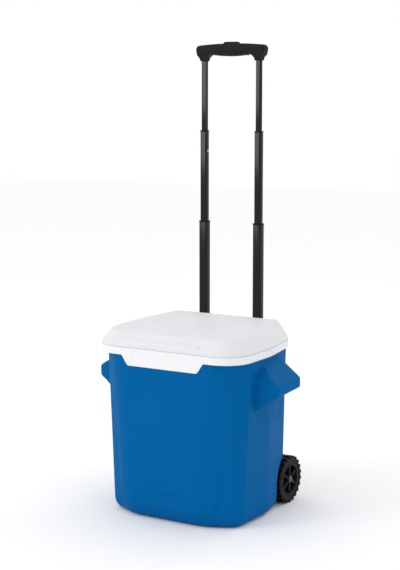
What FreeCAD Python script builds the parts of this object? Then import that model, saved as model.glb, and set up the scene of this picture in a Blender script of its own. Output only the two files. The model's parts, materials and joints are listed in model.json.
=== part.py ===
"""Wheeled personal cooler: insulated tub, lift-off lid, two wheels and a three-stage pull handle.

Millimetres. X runs left to right seen from the front, the front faces -Y, +Z is up.
The origin is on the ground, under the middle of the whole cooler.
"""
import FreeCAD
import Part
import math
import os

V = FreeCAD.Vector
X_DIR = V(1, 0, 0)
Y_DIR = V(0, 1, 0)
SIDES = (("left", -1), ("right", 1))

# ---- driving dimensions: tub ----
LID_HALF_WIDTH = 177.5
FRONT_Y = -164.5
REAR_Y = 101.5
BASE_Z = 2.5
RIM_Z = 348.5
SHELL_INSET = 3.0
SIDE_DRAFT = 12.5
FRONT_DRAFT = 11.0
SHELL_WALL = 3.0
LINER_WALL = 2.5
FOOT_INSET = 40.0
FOOT_RADIUS = 12.0

# ---- driving dimensions: lid ----
BAND_HEIGHT = 16.0
LID_RISE = 40.5
LID_FALL = 9.0
LID_WALL = 2.5
LID_BEVEL = 31.0
BEVEL_FOOT = 5.0
PAD_HALF_WIDTH = 86.0
PAD_HEIGHT = 19.5
TAB_HALF_TOP = 97.0
TAB_HALF_LOW = 83.0
TAB_DROP = 21.5
TAB_THICK = 2.6
PLUG_DEPTH = 12.0
PLUG_GAP = 2.0

# ---- driving dimensions: storage space ----
SIDE_INSULATION = 32.0
FRONT_INSULATION = 35.5
REAR_INSULATION = 27.5
SPACE_FLOOR_Z = 28.0
SPACE_DRAFT = 10.0
STEP_MARGIN = 20.65
STEP_COVER = 18.0

# ---- driving dimensions: side grips, heights measured down from the rim ----
GRIP_STAND = 48.0
GRIP_START = 86.5
GRIP_LENGTH = 115.0
GRIP_TOP_DROP = 26.5
GRIP_FACE_DROP = 50.0
GRIP_FACE_HEIGHT = 23.0
GRIP_DROP = 107.0
GRIP_WALL = 5.0

# ---- driving dimensions: wheels and axle ----
WHEEL_RADIUS = 52.0
WHEEL_WIDTH = 40.0
WHEEL_INSET = 6.0
AXLE_SETBACK = 11.15
TREAD_DEPTH = 21.5
LUG_COUNT = 22
LUG_HEIGHT = 3.5
LUG_SHARE = 0.52
DISH_DEPTH = 13.0
SPOKE_COUNT = 6
SPOKE_WIDTH = 6.0
BACK_RIB_WIDTH = 3.0
WEB_THICK = 4.0
HUB_RADIUS = 9.5
AXLE_RADIUS = 4.0
AXLE_GAP = 0.05
WELL_GAP = 6.0
SIDE_PLAY = 0.6
WASHER_THICK = 1.2
CAP_FLANGE = 3.0
CAP_WALL = 1.4
CAP_HEIGHT = 4.5

# ---- driving dimensions: pull tubes, the smallest first ----
INNER_SIZE = (12.4, 8.8, 2.2)
TUBE_WALL = 1.0
BUSH_WALL = 0.9
SLIDE_GAP = 0.2
GUIDE_WALL = 2.1
TUBE_SETBACK = 16.0
OUTER_LENGTH_OUT = 254.0
MID_LENGTH_OUT = 199.0
INNER_LENGTH_OUT = 152.0
OVERLAP = 60.0
GUIDE_LENGTH = 60.0
BUSH_LENGTH = 22.0
LIP_HEIGHT = 2.5
STOP_LENGTH = 12.0
REST_GAP = 0.3
TRAVEL_GAP = 0.75
SNAP_DROP = 43.0
SNAP_RADIUS = 3.0
SNAP_CLEAR = 0.2
LEAF_SIZE = (0.4, 5.0, 18.0)
FLUTE_WIDTH = 7.0
FLUTE_DEPTH = 1.5
FLUTE_WALL = 0.8

# ---- driving dimensions: housing on the back ----
HOUSING_WALL = 3.3
HOUSING_LOW_Z = 16.0
HOUSING_RISE = 3.5
WHEEL_CLEAR = 18.0
SCREW_COLUMN = 17.25
SCREW_PITCH = 98.0
SCREW_ROWS = 3
SCREW_TOP_DROP = 24.5
SCREW_BITE = 12.0
SCREW_BOSS_HALF = 5.0
SCREW_HEAD_RADIUS = 3.8
SCREW_HEAD_DEPTH = 2.4
SCREW_RADIUS = 2.0
RECESS_SPAN = 2.2
RECESS_HALF = 0.5
RECESS_DEPTH = 1.2

# ---- driving dimensions: grip and release button ----
HANDLE_HEIGHT = 37.5
HANDLE_DEPTH = 26.0
HANDLE_OVERHANG = 17.25
SOCKET_WIDTH = 27.0
SEAT_DEPTH = 20.6
HANDLE_CHAMFER = 6.0
HANDLE_SCREW_RISE = 15.0
CAVITY_RISE = 14.5
CAVITY_WALL = 4.0
BUTTON_WIDTH = 38.0
BUTTON_DEPTH = 13.0
BUTTON_RISE = 3.5
BUTTON_TRAVEL = 3.5
BUTTON_FOOT = 3.0
BUTTON_GAP = 0.35
CROSSBAR_HEIGHT = 6.0
CROSSBAR_HALF_DEPTH = 2.6
CROSSBAR_GAP = 0.5
ROD_RADIUS = 1.3
ROD_OFFSET = 1.4
SPRING_RADIUS = 2.8
SPRING_WIRE = 0.6
SPRING_TURNS = 4
SPRING_ROOM = 4.2

# ---- places worked out from them ----
FAR = 400.0
SHELL_SIDE = LID_HALF_WIDTH - SHELL_INSET
SHELL_FRONT = FRONT_Y + SHELL_INSET
BASE_SIDE = SHELL_SIDE - SIDE_DRAFT
BASE_FRONT = SHELL_FRONT + FRONT_DRAFT
PARTING_Z = RIM_Z + BAND_HEIGHT
LID_BACK_Z = PARTING_Z + LID_RISE
LID_FRONT_Z = LID_BACK_Z - LID_FALL
PAD_TOP_Z = PARTING_Z + PAD_HEIGHT
TAB_LOW_Z = RIM_Z - TAB_DROP
WHEEL_OUTER_X = BASE_SIDE - WHEEL_INSET
WHEEL_INNER_X = WHEEL_OUTER_X - WHEEL_WIDTH
WHEEL_Y = REAR_Y + AXLE_SETBACK
DISH_RADIUS = WHEEL_RADIUS - TREAD_DEPTH
SPACE_HALF_WIDTH = BASE_SIDE - SIDE_INSULATION
SPACE_FRONT_Y = SHELL_FRONT + FRONT_INSULATION
SPACE_REAR_Y = REAR_Y - REAR_INSULATION
STEP_Y = WHEEL_Y - WHEEL_RADIUS - WELL_GAP - STEP_MARGIN
STEP_Z = 2 * WHEEL_RADIUS + WELL_GAP + STEP_COVER
GRIP_REACH = SHELL_SIDE + GRIP_STAND
GRIP_FRONT_Y = SHELL_FRONT + GRIP_START
GRIP_REAR_Y = GRIP_FRONT_Y + GRIP_LENGTH
GRIP_TOP_Z = RIM_Z - GRIP_TOP_DROP
GRIP_FACE_HIGH_Z = RIM_Z - GRIP_FACE_DROP
GRIP_FACE_LOW_Z = GRIP_FACE_HIGH_Z - GRIP_FACE_HEIGHT
GRIP_LOW_Z = RIM_Z - GRIP_DROP


def grown(size, by):
    """A (width, depth, corner radius) made larger all round."""
    return (size[0] + 2 * by, size[1] + 2 * by, max(size[2] + by, 0.4))


def next_tube(size):
    """The tube that slides over one of this size, with room for its bush; its corners are tighter."""
    step = SLIDE_GAP + BUSH_WALL + TUBE_WALL
    return (size[0] + 2 * step, size[1] + 2 * step, size[2] + 0.4 * step)


MID_SIZE = next_tube(INNER_SIZE)
OUTER_SIZE = next_tube(MID_SIZE)
CHANNEL = (OUTER_SIZE[0] + 2 * GUIDE_WALL, OUTER_SIZE[1] + 2 * GUIDE_WALL, OUTER_SIZE[2])
OUTER_BORE = grown(OUTER_SIZE, -TUBE_WALL)
MID_BORE = grown(MID_SIZE, -TUBE_WALL)
HOUSING_HALF_WIDTH = WHEEL_INNER_X - WHEEL_CLEAR
TUBE_X = HOUSING_HALF_WIDTH - SCREW_COLUMN - CHANNEL[0] / 2
TUBE_Y = REAR_Y + TUBE_SETBACK
HOUSING_BACK = TUBE_Y + CHANNEL[1] / 2 + HOUSING_WALL
HOUSING_TOP_Z = RIM_Z + HOUSING_RISE
AXLE_BOSS_RADIUS = AXLE_SETBACK - 0.2
CHANNEL_FLOOR_Z = WHEEL_RADIUS + AXLE_BOSS_RADIUS + 1.0
OUTER_TOP_Z = HOUSING_TOP_Z + OUTER_LENGTH_OUT
MID_TOP_Z = OUTER_TOP_Z + MID_LENGTH_OUT
SOCKET_Z = MID_TOP_Z + INNER_LENGTH_OUT
OUTER_LOW_Z = HOUSING_TOP_Z - GUIDE_LENGTH
MID_LOW_Z = OUTER_TOP_Z - OVERLAP
INNER_LOW_Z = MID_TOP_Z - OVERLAP
SNAP_Z = MID_TOP_Z - SNAP_DROP
SNAP_RISE = SLIDE_GAP + BUSH_WALL - SNAP_CLEAR
HANDLE_TOP_Z = SOCKET_Z + HANDLE_HEIGHT
HANDLE_HALF_WIDTH = TUBE_X + HANDLE_OVERHANG
HANDLE_BACK = TUBE_Y + HANDLE_DEPTH / 2
CAVITY_LOW_Z = SOCKET_Z + CAVITY_RISE
CAVITY_HIGH_Z = HANDLE_TOP_Z - CAVITY_WALL
BUTTON_LOW_Z = CAVITY_HIGH_Z - BUTTON_FOOT
CROSSBAR_LOW_Z = BUTTON_LOW_Z - CROSSBAR_HEIGHT
HUB_OUTER_X = WHEEL_OUTER_X - 3.0
CAP_X = HUB_OUTER_X + SIDE_PLAY
BOSS_X = WHEEL_INNER_X - SIDE_PLAY - WASHER_THICK


# ---- outlines ----
def inset(corners, distance):
    """Move every edge of a counter-clockwise outline inwards; corners are (x, y, radius)."""
    moved = []
    count = len(corners)
    for i, (x, y, radius) in enumerate(corners):
        before = corners[i - 1]
        after = corners[(i + 1) % count]
        into = V(x - before[0], y - before[1], 0).normalize()
        out = V(after[0] - x, after[1] - y, 0).normalize()
        normal_in = V(-into.y, into.x, 0)
        normal_out = V(-out.y, out.x, 0)
        shift = (normal_in + normal_out) * (distance / (1 + normal_in.dot(normal_out)))
        turn = into.x * out.y - into.y * out.x
        tighter = radius - distance if turn > 0 else radius + distance
        moved.append((x + shift.x, y + shift.y, max(tighter, 0.4)))
    return moved


def outline(corners, z):
    """A closed wire in the plane z, each corner rounded by its own radius."""
    edges = []
    ends = []
    count = len(corners)
    for i, (x, y, radius) in enumerate(corners):
        here = V(x, y, z)
        into = V(x - corners[i - 1][0], y - corners[i - 1][1], 0).normalize()
        out = V(corners[(i + 1) % count][0] - x, corners[(i + 1) % count][1] - y, 0).normalize()
        half_turn = into.getAngle(out) / 2
        reach = radius * math.tan(half_turn)
        start = here - into * reach
        end = here + out * reach
        inward = (out - into).normalize()
        middle = here + inward * (radius / math.cos(half_turn) - radius)
        ends.append((start, middle, end))
    for i, (start, middle, end) in enumerate(ends):
        edges.append(Part.Arc(start, middle, end).toShape())
        edges.append(Part.LineSegment(end, ends[(i + 1) % count][0]).toShape())
    return Part.Wire(edges)


def stack(levels):
    """Solid through rounded outlines: levels are (corners, z) from the lowest up."""
    return Part.makeLoft([outline(corners, z) for corners, z in levels], True, True)


def prism(corners, low, high):
    return Part.Face(outline(corners, low)).extrude(V(0, 0, high - low))


def prism_y(corners, low, high):
    """Corners are (x, z, radius); the prism runs along Y from low to high."""
    flat = prism([(x, -z, radius) for x, z, radius in reversed(corners)], low, high)
    flat.rotate(V(0, 0, 0), X_DIR, -90)
    return flat


def box(low, high):
    return Part.makeBox(high[0] - low[0], high[1] - low[1], high[2] - low[2], V(*low))


def rod_x(radius, low, high, y, z):
    return Part.makeCylinder(radius, high - low, V(low, y, z), X_DIR)


def rectangle(x, y, size):
    """Rounded rectangle centred on x, y; size is (width, depth, corner radius)."""
    w, d, r = size[0] / 2, size[1] / 2, size[2]
    return [(x - w, y - d, r), (x + w, y - d, r), (x + w, y + d, r), (x - w, y + d, r)]


def symmetric(half):
    """Close a right-hand outline, given from the front to the back, with its mirror image."""
    return half + [(-x, y, radius) for x, y, radius in reversed(half)]


def blend(low, high, share):
    return [tuple(a + (b - a) * share for a, b in zip(p, q)) for p, q in zip(low, high)]


def mirrored(shape):
    return shape.mirror(V(0, 0, 0), X_DIR)


def on_side(shape, side):
    """A shape made for the right-hand side, turned over for the left."""
    return shape if side > 0 else mirrored(shape)


def fused(shapes):
    return shapes[0].multiFuse(shapes[1:]).removeSplitter() if len(shapes) > 1 else shapes[0]


def save(name, shape):
    solids = [solid for solid in shape.Solids if solid.Volume > 1.0]
    kept = solids[0] if len(solids) == 1 else Part.makeCompound(solids)
    kept.exportStep("parts/" + name + ".step")
    print("%-24s solids %2d  volume %9.0f  valid %s" % (name, len(solids), kept.Volume, kept.isValid()))
    return kept


# ---- plans of the lid and of the tub ----
LID_PLAN = symmetric([
    (LID_HALF_WIDTH, FRONT_Y, 60.0),
    (LID_HALF_WIDTH, -19.5, 150.0),
    (LID_HALF_WIDTH - 22.0, REAR_Y, 14.0),
])
PLATEAU_PLAN = symmetric([
    (LID_HALF_WIDTH - LID_BEVEL, FRONT_Y + LID_BEVEL, 34.0),
    (LID_HALF_WIDTH - LID_BEVEL, -19.5, 120.0),
    (LID_HALF_WIDTH - LID_BEVEL - 19.0, REAR_Y, 8.0),
])
RIM_PLAN = symmetric([
    (SHELL_SIDE - 56.0, SHELL_FRONT, 60.0),
    (SHELL_SIDE - 17.0, SHELL_FRONT + 32.0, 45.0),
    (SHELL_SIDE, SHELL_FRONT + 65.0, 6.0),
    (SHELL_SIDE - 5.0, -8.0, 150.0),
    (SHELL_SIDE - 24.0, REAR_Y, 14.0),
])
BASE_PLAN = symmetric([
    (BASE_SIDE - 76.0, BASE_FRONT, 90.0),
    (BASE_SIDE - 13.0, BASE_FRONT + 30.0, 22.0),
    (BASE_SIDE - 2.5, BASE_FRONT + 48.0, 6.0),
    (BASE_SIDE + 1.0, -2.0, 120.0),
    (BASE_SIDE - 19.5, REAR_Y, 14.0),
])
ROUND_STEPS = ((0.0, 15.0), (2.5, 9.0), (7.0, 4.2), (14.0, 1.2), (24.0, 0.0))


def tub_plan(z, offset=0.0):
    share = (z - BASE_Z) / (RIM_Z - BASE_Z)
    return inset(blend(BASE_PLAN, RIM_PLAN, share), offset)


def tub_solid(offset, top):
    """The tub's outside, or that surface moved inwards by an offset, with its rounded bottom edge."""
    levels = []
    for rise, tuck in ROUND_STEPS:
        z = BASE_Z + offset + rise
        levels.append((tub_plan(z, offset + tuck), z))
    levels.append((tub_plan(top, offset), top))
    return stack(levels)


def wheel_wells(gap):
    """Space round both wheels, out to the sides."""
    radius = WHEEL_RADIUS + WELL_GAP + gap
    inner = WHEEL_INNER_X - WELL_GAP - gap
    right = rod_x(radius, inner, FAR, WHEEL_Y, WHEEL_RADIUS)
    below = box((inner, WHEEL_Y - radius, -FAR), (FAR, WHEEL_Y + radius, WHEEL_RADIUS))
    right = right.fuse(below)
    return right.fuse(mirrored(right))


# ---- storage space ----
SPACE_TOP = symmetric([
    (SPACE_HALF_WIDTH, SPACE_FRONT_Y, 34.0),
    (SPACE_HALF_WIDTH, SPACE_REAR_Y, 26.0),
])


def space(outset):
    """The storage space grown by a wall: tapered, with a raised step at the back over the axle."""
    low = inset(SPACE_TOP, SPACE_DRAFT - outset)
    high = inset(SPACE_TOP, -outset)
    solid = stack([(low, SPACE_FLOOR_Z - outset), (high, RIM_Z)])
    step = box((-FAR, STEP_Y + outset, 0), (FAR, FAR, STEP_Z - outset))
    return solid.cut(step)


# ---- screws ----
SCREW_X = TUBE_X + CHANNEL[0] / 2 + SCREW_COLUMN / 2
SCREW_HEIGHTS = [RIM_Z - SCREW_TOP_DROP - SCREW_PITCH * k for k in range(SCREW_ROWS)]
HOUSING_SCREWS = [(side * SCREW_X, z) for side in (-1, 1) for z in SCREW_HEIGHTS]
HOUSING_SCREW_LENGTH = HOUSING_BACK - REAR_Y + SCREW_BITE
HANDLE_SCREWS = [(side * TUBE_X / 2, SOCKET_Z + HANDLE_SCREW_RISE) for side in (-1, 1)]
HANDLE_SCREW_LENGTH = HANDLE_DEPTH - 5.0


def screw_bodies(places, back, length):
    """Pan heads and shanks, driven in from the back; back is the face that the heads are sunk into."""
    bodies = []
    for x, z in places:
        head = Part.makeCylinder(SCREW_HEAD_RADIUS, SCREW_HEAD_DEPTH, V(x, back, z), V(0, -1, 0))
        shank = Part.makeCylinder(SCREW_RADIUS, length, V(x, back, z), V(0, -1, 0))
        bodies.append(head.fuse(shank))
    return bodies


def screw_holes(places, back, length):
    return Part.makeCompound(screw_bodies(places, back, length))


def screws(places, back, length):
    """The screws themselves, with a cross recess in each head."""
    finished = []
    for body, (x, z) in zip(screw_bodies(places, back, length), places):
        for wide, high in ((RECESS_SPAN, RECESS_HALF), (RECESS_HALF, RECESS_SPAN)):
            body = body.cut(box((x - wide, back - RECESS_DEPTH, z - high), (x + wide, back + 1, z + high)))
        finished.append(body)
    return Part.makeCompound(finished)


# ---- tub ----
def grip_plan(inner):
    """Right-hand grip from above, out from x = inner: a flat front cap, a long face, a flat rear."""
    return [
        (inner, GRIP_FRONT_Y, 0.5),
        (GRIP_REACH, GRIP_FRONT_Y, 8.0),
        (GRIP_REACH, GRIP_REAR_Y, 10.0),
        (inner, GRIP_REAR_Y + 6.0, 0.5),
    ]


def side_grip():
    """Right-hand carrying grip, moulded with the shell and open underneath for the fingers."""
    root = BASE_SIDE - 36.0
    profile = [
        (root, GRIP_LOW_Z, 0.5),
        (SHELL_SIDE - 6.0, GRIP_LOW_Z, 0.5),
        (GRIP_REACH, GRIP_FACE_LOW_Z, 4.0),
        (GRIP_REACH, GRIP_FACE_HIGH_Z, 10.0),
        (SHELL_SIDE - 1.0, GRIP_TOP_Z, 8.0),
        (root, GRIP_TOP_Z, 0.5),
    ]
    block = prism(grip_plan(BASE_SIDE - 6.0), GRIP_LOW_Z - 5, GRIP_TOP_Z + 5)
    room = inset(grip_plan(SHELL_SIDE - 25.0), GRIP_WALL)
    fingers = prism(room, GRIP_LOW_Z - 10, GRIP_FACE_HIGH_Z - GRIP_WALL)
    return block.common(prism_y(profile, -FAR, FAR)).cut(fingers)


def feet():
    """Four round pads under the tub's floor; the wheels carry the back when it rolls."""
    pads = []
    for side in (-1, 1):
        for y in (BASE_FRONT + FOOT_INSET, STEP_Y - 20.0):
            x = side * (BASE_SIDE - FOOT_INSET - 14.0)
            pads.append(Part.makeCylinder(FOOT_RADIUS, BASE_Z + SHELL_WALL / 2, V(x, y, 0)))
    return pads


def outer_shell():
    """Blue outer shell: open at the top, with the side grips, wheel wells and feet moulded in."""
    outside = tub_solid(0.0, RIM_Z)
    grip = side_grip().cut(tub_solid(SHELL_WALL / 2, RIM_Z))
    solid = outside.cut(wheel_wells(0.0)).multiFuse(feet())
    for screw in screw_bodies(HOUSING_SCREWS, HOUSING_BACK, HOUSING_SCREW_LENGTH):
        solid = solid.cut(screw)
    shell = solid.cut(shell_hollow())
    return shell.fuse(grip).fuse(mirrored(grip))


def shell_hollow():
    """Room inside the shell, less the square bosses that the housing's screws bite into."""
    hollow = tub_solid(SHELL_WALL, RIM_Z).cut(wheel_wells(SHELL_WALL))
    near = REAR_Y - SCREW_BITE - 2.0
    for x, z in HOUSING_SCREWS:
        low = (x - SCREW_BOSS_HALF, near, z - SCREW_BOSS_HALF)
        hollow = hollow.cut(box(low, (x + SCREW_BOSS_HALF, REAR_Y + 1.0, z + SCREW_BOSS_HALF)))
    return hollow


def inner_liner():
    flange = prism(tub_plan(RIM_Z, SHELL_WALL), RIM_Z - SHELL_WALL, RIM_Z).common(shell_hollow())
    return space(LINER_WALL).fuse(flange).cut(space(0.0)).removeSplitter()


def foam_core():
    below_flange = box((-FAR, -FAR, 0), (FAR, FAR, RIM_Z - SHELL_WALL))
    return shell_hollow().common(below_flange).cut(space(LINER_WALL))


# ---- lid ----
def lid_top(offset):
    """Solid under the lid's top: bevelled round the front and sides, crowned down to the front."""
    low = inset(LID_PLAN, offset)
    high = inset(PLATEAU_PLAN, offset)
    solid = stack([(low, PARTING_Z), (low, PARTING_Z + BEVEL_FOOT), (high, LID_BACK_Z + 1.0)])
    crown = Part.makePolygon([
        V(-FAR, FAR, PARTING_Z - 10.0),
        V(-FAR, FAR, LID_BACK_Z - offset),
        V(-FAR, REAR_Y, LID_BACK_Z - offset),
        V(-FAR, FRONT_Y + 24.5, LID_FRONT_Z - offset),
        V(-FAR, -FAR, LID_FRONT_Z - 10.0 - offset),
        V(-FAR, -FAR, PARTING_Z - 10.0),
        V(-FAR, FAR, PARTING_Z - 10.0),
    ])
    return solid.common(Part.Face(crown).extrude(V(2 * FAR, 0, 0)))


def lid_cover():
    """Grey-white top cover, with a raised pad above the pull tab."""
    low = [
        (-PAD_HALF_WIDTH, FRONT_Y, 5.0), (PAD_HALF_WIDTH, FRONT_Y, 5.0),
        (PAD_HALF_WIDTH - 6.0, FRONT_Y + 40, 3.0), (-PAD_HALF_WIDTH + 6.0, FRONT_Y + 40, 3.0),
    ]
    pad = stack([(low, PARTING_Z), (low, PAD_TOP_Z - 4.0), (inset(low, 4.0), PAD_TOP_Z)])
    pad = pad.common(prism(LID_PLAN, PARTING_Z, PAD_TOP_Z + 1))
    return lid_top(0.0).fuse(pad).cut(lid_top(LID_WALL)).removeSplitter()


def lid_liner():
    """White lower half of the lid: rim band, front pull tab and the plug that seats in the tub."""
    band = prism(LID_PLAN, RIM_Z, PARTING_Z).cut(prism(inset(LID_PLAN, LID_WALL), RIM_Z + LID_WALL, PARTING_Z))
    plug_plan = inset(SPACE_TOP, PLUG_GAP)
    plug = prism(plug_plan, RIM_Z - PLUG_DEPTH, RIM_Z)
    plug = plug.cut(prism(inset(plug_plan, LINER_WALL), RIM_Z - PLUG_DEPTH, RIM_Z))
    tab = prism_y([
        (-TAB_HALF_LOW, TAB_LOW_Z, 9.0), (TAB_HALF_LOW, TAB_LOW_Z, 9.0),
        (TAB_HALF_LOW + 5.0, RIM_Z - 7.0, 8.0), (TAB_HALF_TOP, RIM_Z + 2.0, 1.0),
        (-TAB_HALF_TOP, RIM_Z + 2.0, 1.0), (-TAB_HALF_LOW - 5.0, RIM_Z - 7.0, 8.0),
    ], FRONT_Y, FRONT_Y + TAB_THICK)
    return fused([band, plug, tab])


def lid_foam():
    """Insulation that fills the lid between its cover and its liner."""
    band_room = prism(inset(LID_PLAN, LID_WALL), RIM_Z + LID_WALL, PARTING_Z)
    return lid_top(LID_WALL).fuse(band_room).removeSplitter()


# ---- wheels ----
def at_wheel(shape, turn):
    """Move a shape made about the origin's X axis onto the wheel's axis, turned by some degrees."""
    shape.rotate(V(0, 0, 0), X_DIR, turn)
    shape.translate(V(0, WHEEL_Y, WHEEL_RADIUS))
    return shape


def on_axle(radius, low, high):
    return rod_x(radius, low, high, WHEEL_Y, WHEEL_RADIUS)


def wheel():
    """Right-hand wheel: lugged tread, dished web with spokes, and a hub bored for the axle."""
    outer, inner = WHEEL_OUTER_X, WHEEL_INNER_X
    core = WHEEL_RADIUS - LUG_HEIGHT
    web = outer - DISH_DEPTH
    solid = on_axle(core, inner, outer).cut(on_axle(DISH_RADIUS, web, outer))
    solid = solid.cut(on_axle(core - 6.0, inner, web - WEB_THICK))
    added = [on_axle(HUB_RADIUS, inner, HUB_OUTER_X)]
    for k in range(SPOKE_COUNT):
        spoke = box((web - 1, -SPOKE_WIDTH / 2, 0), (outer - 4.0, SPOKE_WIDTH / 2, DISH_RADIUS + 1))
        back = box((inner + 4.0, -BACK_RIB_WIDTH / 2, 0), (web - WEB_THICK + 1, BACK_RIB_WIDTH / 2, core - 5))
        added.append(at_wheel(spoke, 360.0 * k / SPOKE_COUNT))
        added.append(at_wheel(back, 360.0 * (k + 0.5) / SPOKE_COUNT))
    half = LUG_SHARE * math.pi * core / LUG_COUNT
    for k in range(LUG_COUNT):
        plan = [(inner, -half, 0.8), (outer, -half, 0.8), (outer, half, 0.8), (inner, half, 0.8)]
        lug = prism(plan, -WHEEL_RADIUS, -core + 1.5).common(rod_x(WHEEL_RADIUS, inner, outer, 0, 0))
        added.append(at_wheel(lug, 360.0 * k / LUG_COUNT))
    bore = on_axle(AXLE_RADIUS + AXLE_GAP, inner - 1, outer + 1)
    return solid.multiFuse(added).cut(bore).removeSplitter()


def washer(low):
    ring = on_axle(HUB_RADIUS - 1.0, low, low + WASHER_THICK)
    return ring.cut(on_axle(AXLE_RADIUS, low, low + WASHER_THICK))


def hub_cap():
    """Pressed metal cap nut on the axle's end, holding the wheel on."""
    flange = on_axle(AXLE_RADIUS + CAP_FLANGE, CAP_X, CAP_X + 1.2)
    dome = on_axle(AXLE_RADIUS + CAP_WALL, CAP_X, CAP_X + CAP_HEIGHT)
    outer_edges = [edge for edge in dome.Edges if edge.BoundBox.XMin > CAP_X + CAP_HEIGHT - 0.1]
    dome = dome.makeFillet(2.0, outer_edges)
    return flange.fuse(dome).cut(on_axle(AXLE_RADIUS, CAP_X, CAP_X + 3.0))


AXLE_HALF = CAP_X + 3.0


# ---- pull handle: guides on the tub ----
def handle_housing():
    """Moulded cover on the back of the tub: two channels for the outer tubes, bosses for the axle."""
    plan = [
        (-HOUSING_HALF_WIDTH, REAR_Y, 0.5), (HOUSING_HALF_WIDTH, REAR_Y, 0.5),
        (HOUSING_HALF_WIDTH, HOUSING_BACK, 9.0), (-HOUSING_HALF_WIDTH, HOUSING_BACK, 9.0),
    ]
    solid = prism(plan, HOUSING_LOW_Z, HOUSING_TOP_Z)
    middle = TUBE_X - CHANNEL[0] / 2 - 5.0
    pocket_low = (-middle, REAR_Y - 1, CHANNEL_FLOOR_Z + 24.0)
    solid = solid.cut(box(pocket_low, (middle, HOUSING_BACK - 4.0, HOUSING_TOP_Z - 12.0)))
    solid = solid.fuse(on_axle(AXLE_BOSS_RADIUS, -BOSS_X, BOSS_X))
    for side in (-1, 1):
        plan = rectangle(side * TUBE_X, TUBE_Y, CHANNEL)
        solid = solid.cut(prism(plan, CHANNEL_FLOOR_Z, HOUSING_TOP_Z + 1))
    solid = solid.cut(on_axle(AXLE_RADIUS, -BOSS_X, BOSS_X))
    return solid.cut(screw_holes(HOUSING_SCREWS, HOUSING_BACK, HOUSING_SCREW_LENGTH)).removeSplitter()


def at_tube(size, low, high):
    return prism(rectangle(TUBE_X, TUBE_Y, size), low, high)


def tube(size, low, high):
    return at_tube(size, low, high).cut(at_tube(grown(size, -TUBE_WALL), low, high))


def bush(outside, through, low, high):
    """Sleeve that guides the next tube, with the sliding gap round it."""
    return at_tube(outside, low, high).cut(at_tube(grown(through, SLIDE_GAP), low, high))


def tube_bush(size, bore, inside, top):
    """Plastic mouth at a tube's top: a sleeve inside the tube and a lip on its end."""
    sleeve = bush(bore, inside, top - BUSH_LENGTH, top)
    lip = bush(grown(size, 0.8), inside, top, top + LIP_HEIGHT)
    keyway = box((TUBE_X - bore[0] / 2, TUBE_Y - FLUTE_WIDTH / 2, top - BUSH_LENGTH - 1),
                 (TUBE_X, TUBE_Y + FLUTE_WIDTH / 2, top + 3))
    return sleeve.fuse(lip).cut(keyway).removeSplitter()


def slider(bore, low):
    """Plastic foot plugged into a tube's lower end, guided in the tube round it."""
    return at_tube(grown(bore, -SLIDE_GAP), low - STOP_LENGTH, low)


STOP_LOW_Z = OUTER_LOW_Z - STOP_LENGTH - REST_GAP
OUTER_TRAVEL = STOP_LOW_Z - CHANNEL_FLOOR_Z - TRAVEL_GAP


def outer_stop():
    """Collar at the outer tube's foot: it runs in the channel and stops under the guide."""
    collar = at_tube(grown(CHANNEL, -REST_GAP), STOP_LOW_Z, OUTER_LOW_Z - REST_GAP)
    return collar.cut(at_tube(OUTER_SIZE, STOP_LOW_Z, OUTER_LOW_Z))


def outer_tube():
    return tube(OUTER_SIZE, STOP_LOW_Z, OUTER_TOP_Z)


def mid_tube():
    hole = rod_x(SNAP_RADIUS + SLIDE_GAP, TUBE_X - MID_SIZE[0], TUBE_X, TUBE_Y, SNAP_Z)
    return tube(MID_SIZE, MID_LOW_Z, MID_TOP_Z).cut(hole)


def flute_block(near, far, spread, low, high):
    """A block along the inner tube's inboard side, between two depths below its face."""
    inboard = TUBE_X - INNER_SIZE[0] / 2
    half = FLUTE_WIDTH / 2 + spread
    return box((inboard + near, TUBE_Y - half, low), (inboard + far, TUBE_Y + half, high))


def inner_tube():
    """Inner tube; a flute down its inboard side lets the snap button move in."""
    whole = tube(INNER_SIZE, INNER_LOW_Z, SOCKET_Z + SEAT_DEPTH)
    flute = flute_block(-5.0, FLUTE_DEPTH, 0.0, INNER_LOW_Z, SOCKET_Z)
    floor = flute_block(FLUTE_DEPTH, FLUTE_DEPTH + FLUTE_WALL, 0.6, INNER_LOW_Z, SOCKET_Z)
    return whole.cut(flute).fuse(floor).removeSplitter()


def snap_button():
    """Domed locking button with its spring leaf, on the inboard face of the mid tube."""
    bore_face = TUBE_X - MID_BORE[0] / 2
    head = rod_x(SNAP_RADIUS, bore_face - TUBE_WALL - SNAP_RISE, bore_face + 0.3, TUBE_Y, SNAP_Z)
    thick, wide, long = LEAF_SIZE
    leaf = box((bore_face + 0.05, TUBE_Y - wide / 2, SNAP_Z - long / 2),
               (bore_face + 0.05 + thick, TUBE_Y + wide / 2, SNAP_Z + long / 2))
    return head.fuse(leaf)


# ---- pull handle: grip ----
def handle_outline(offset=0.0):
    """Front view of the grip: arched bar with a socket at each tube."""
    half = [
        (TUBE_X - SOCKET_WIDTH / 2 - 4.0, SOCKET_Z + 9.0, 10.0),
        (TUBE_X - SOCKET_WIDTH / 2 + 1.0, SOCKET_Z, 2.5),
        (TUBE_X + SOCKET_WIDTH / 2 - 1.0, SOCKET_Z, 2.5),
        (TUBE_X + SOCKET_WIDTH / 2 + 0.5, SOCKET_Z + 15.0, 6.0),
        (HANDLE_HALF_WIDTH, SOCKET_Z + 17.5, 5.0),
        (HANDLE_HALF_WIDTH, HANDLE_TOP_Z - 5.0, 7.0),
        (TUBE_X - 6.0, HANDLE_TOP_Z, 40.0),
    ]
    return inset(symmetric(half), offset)


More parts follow.
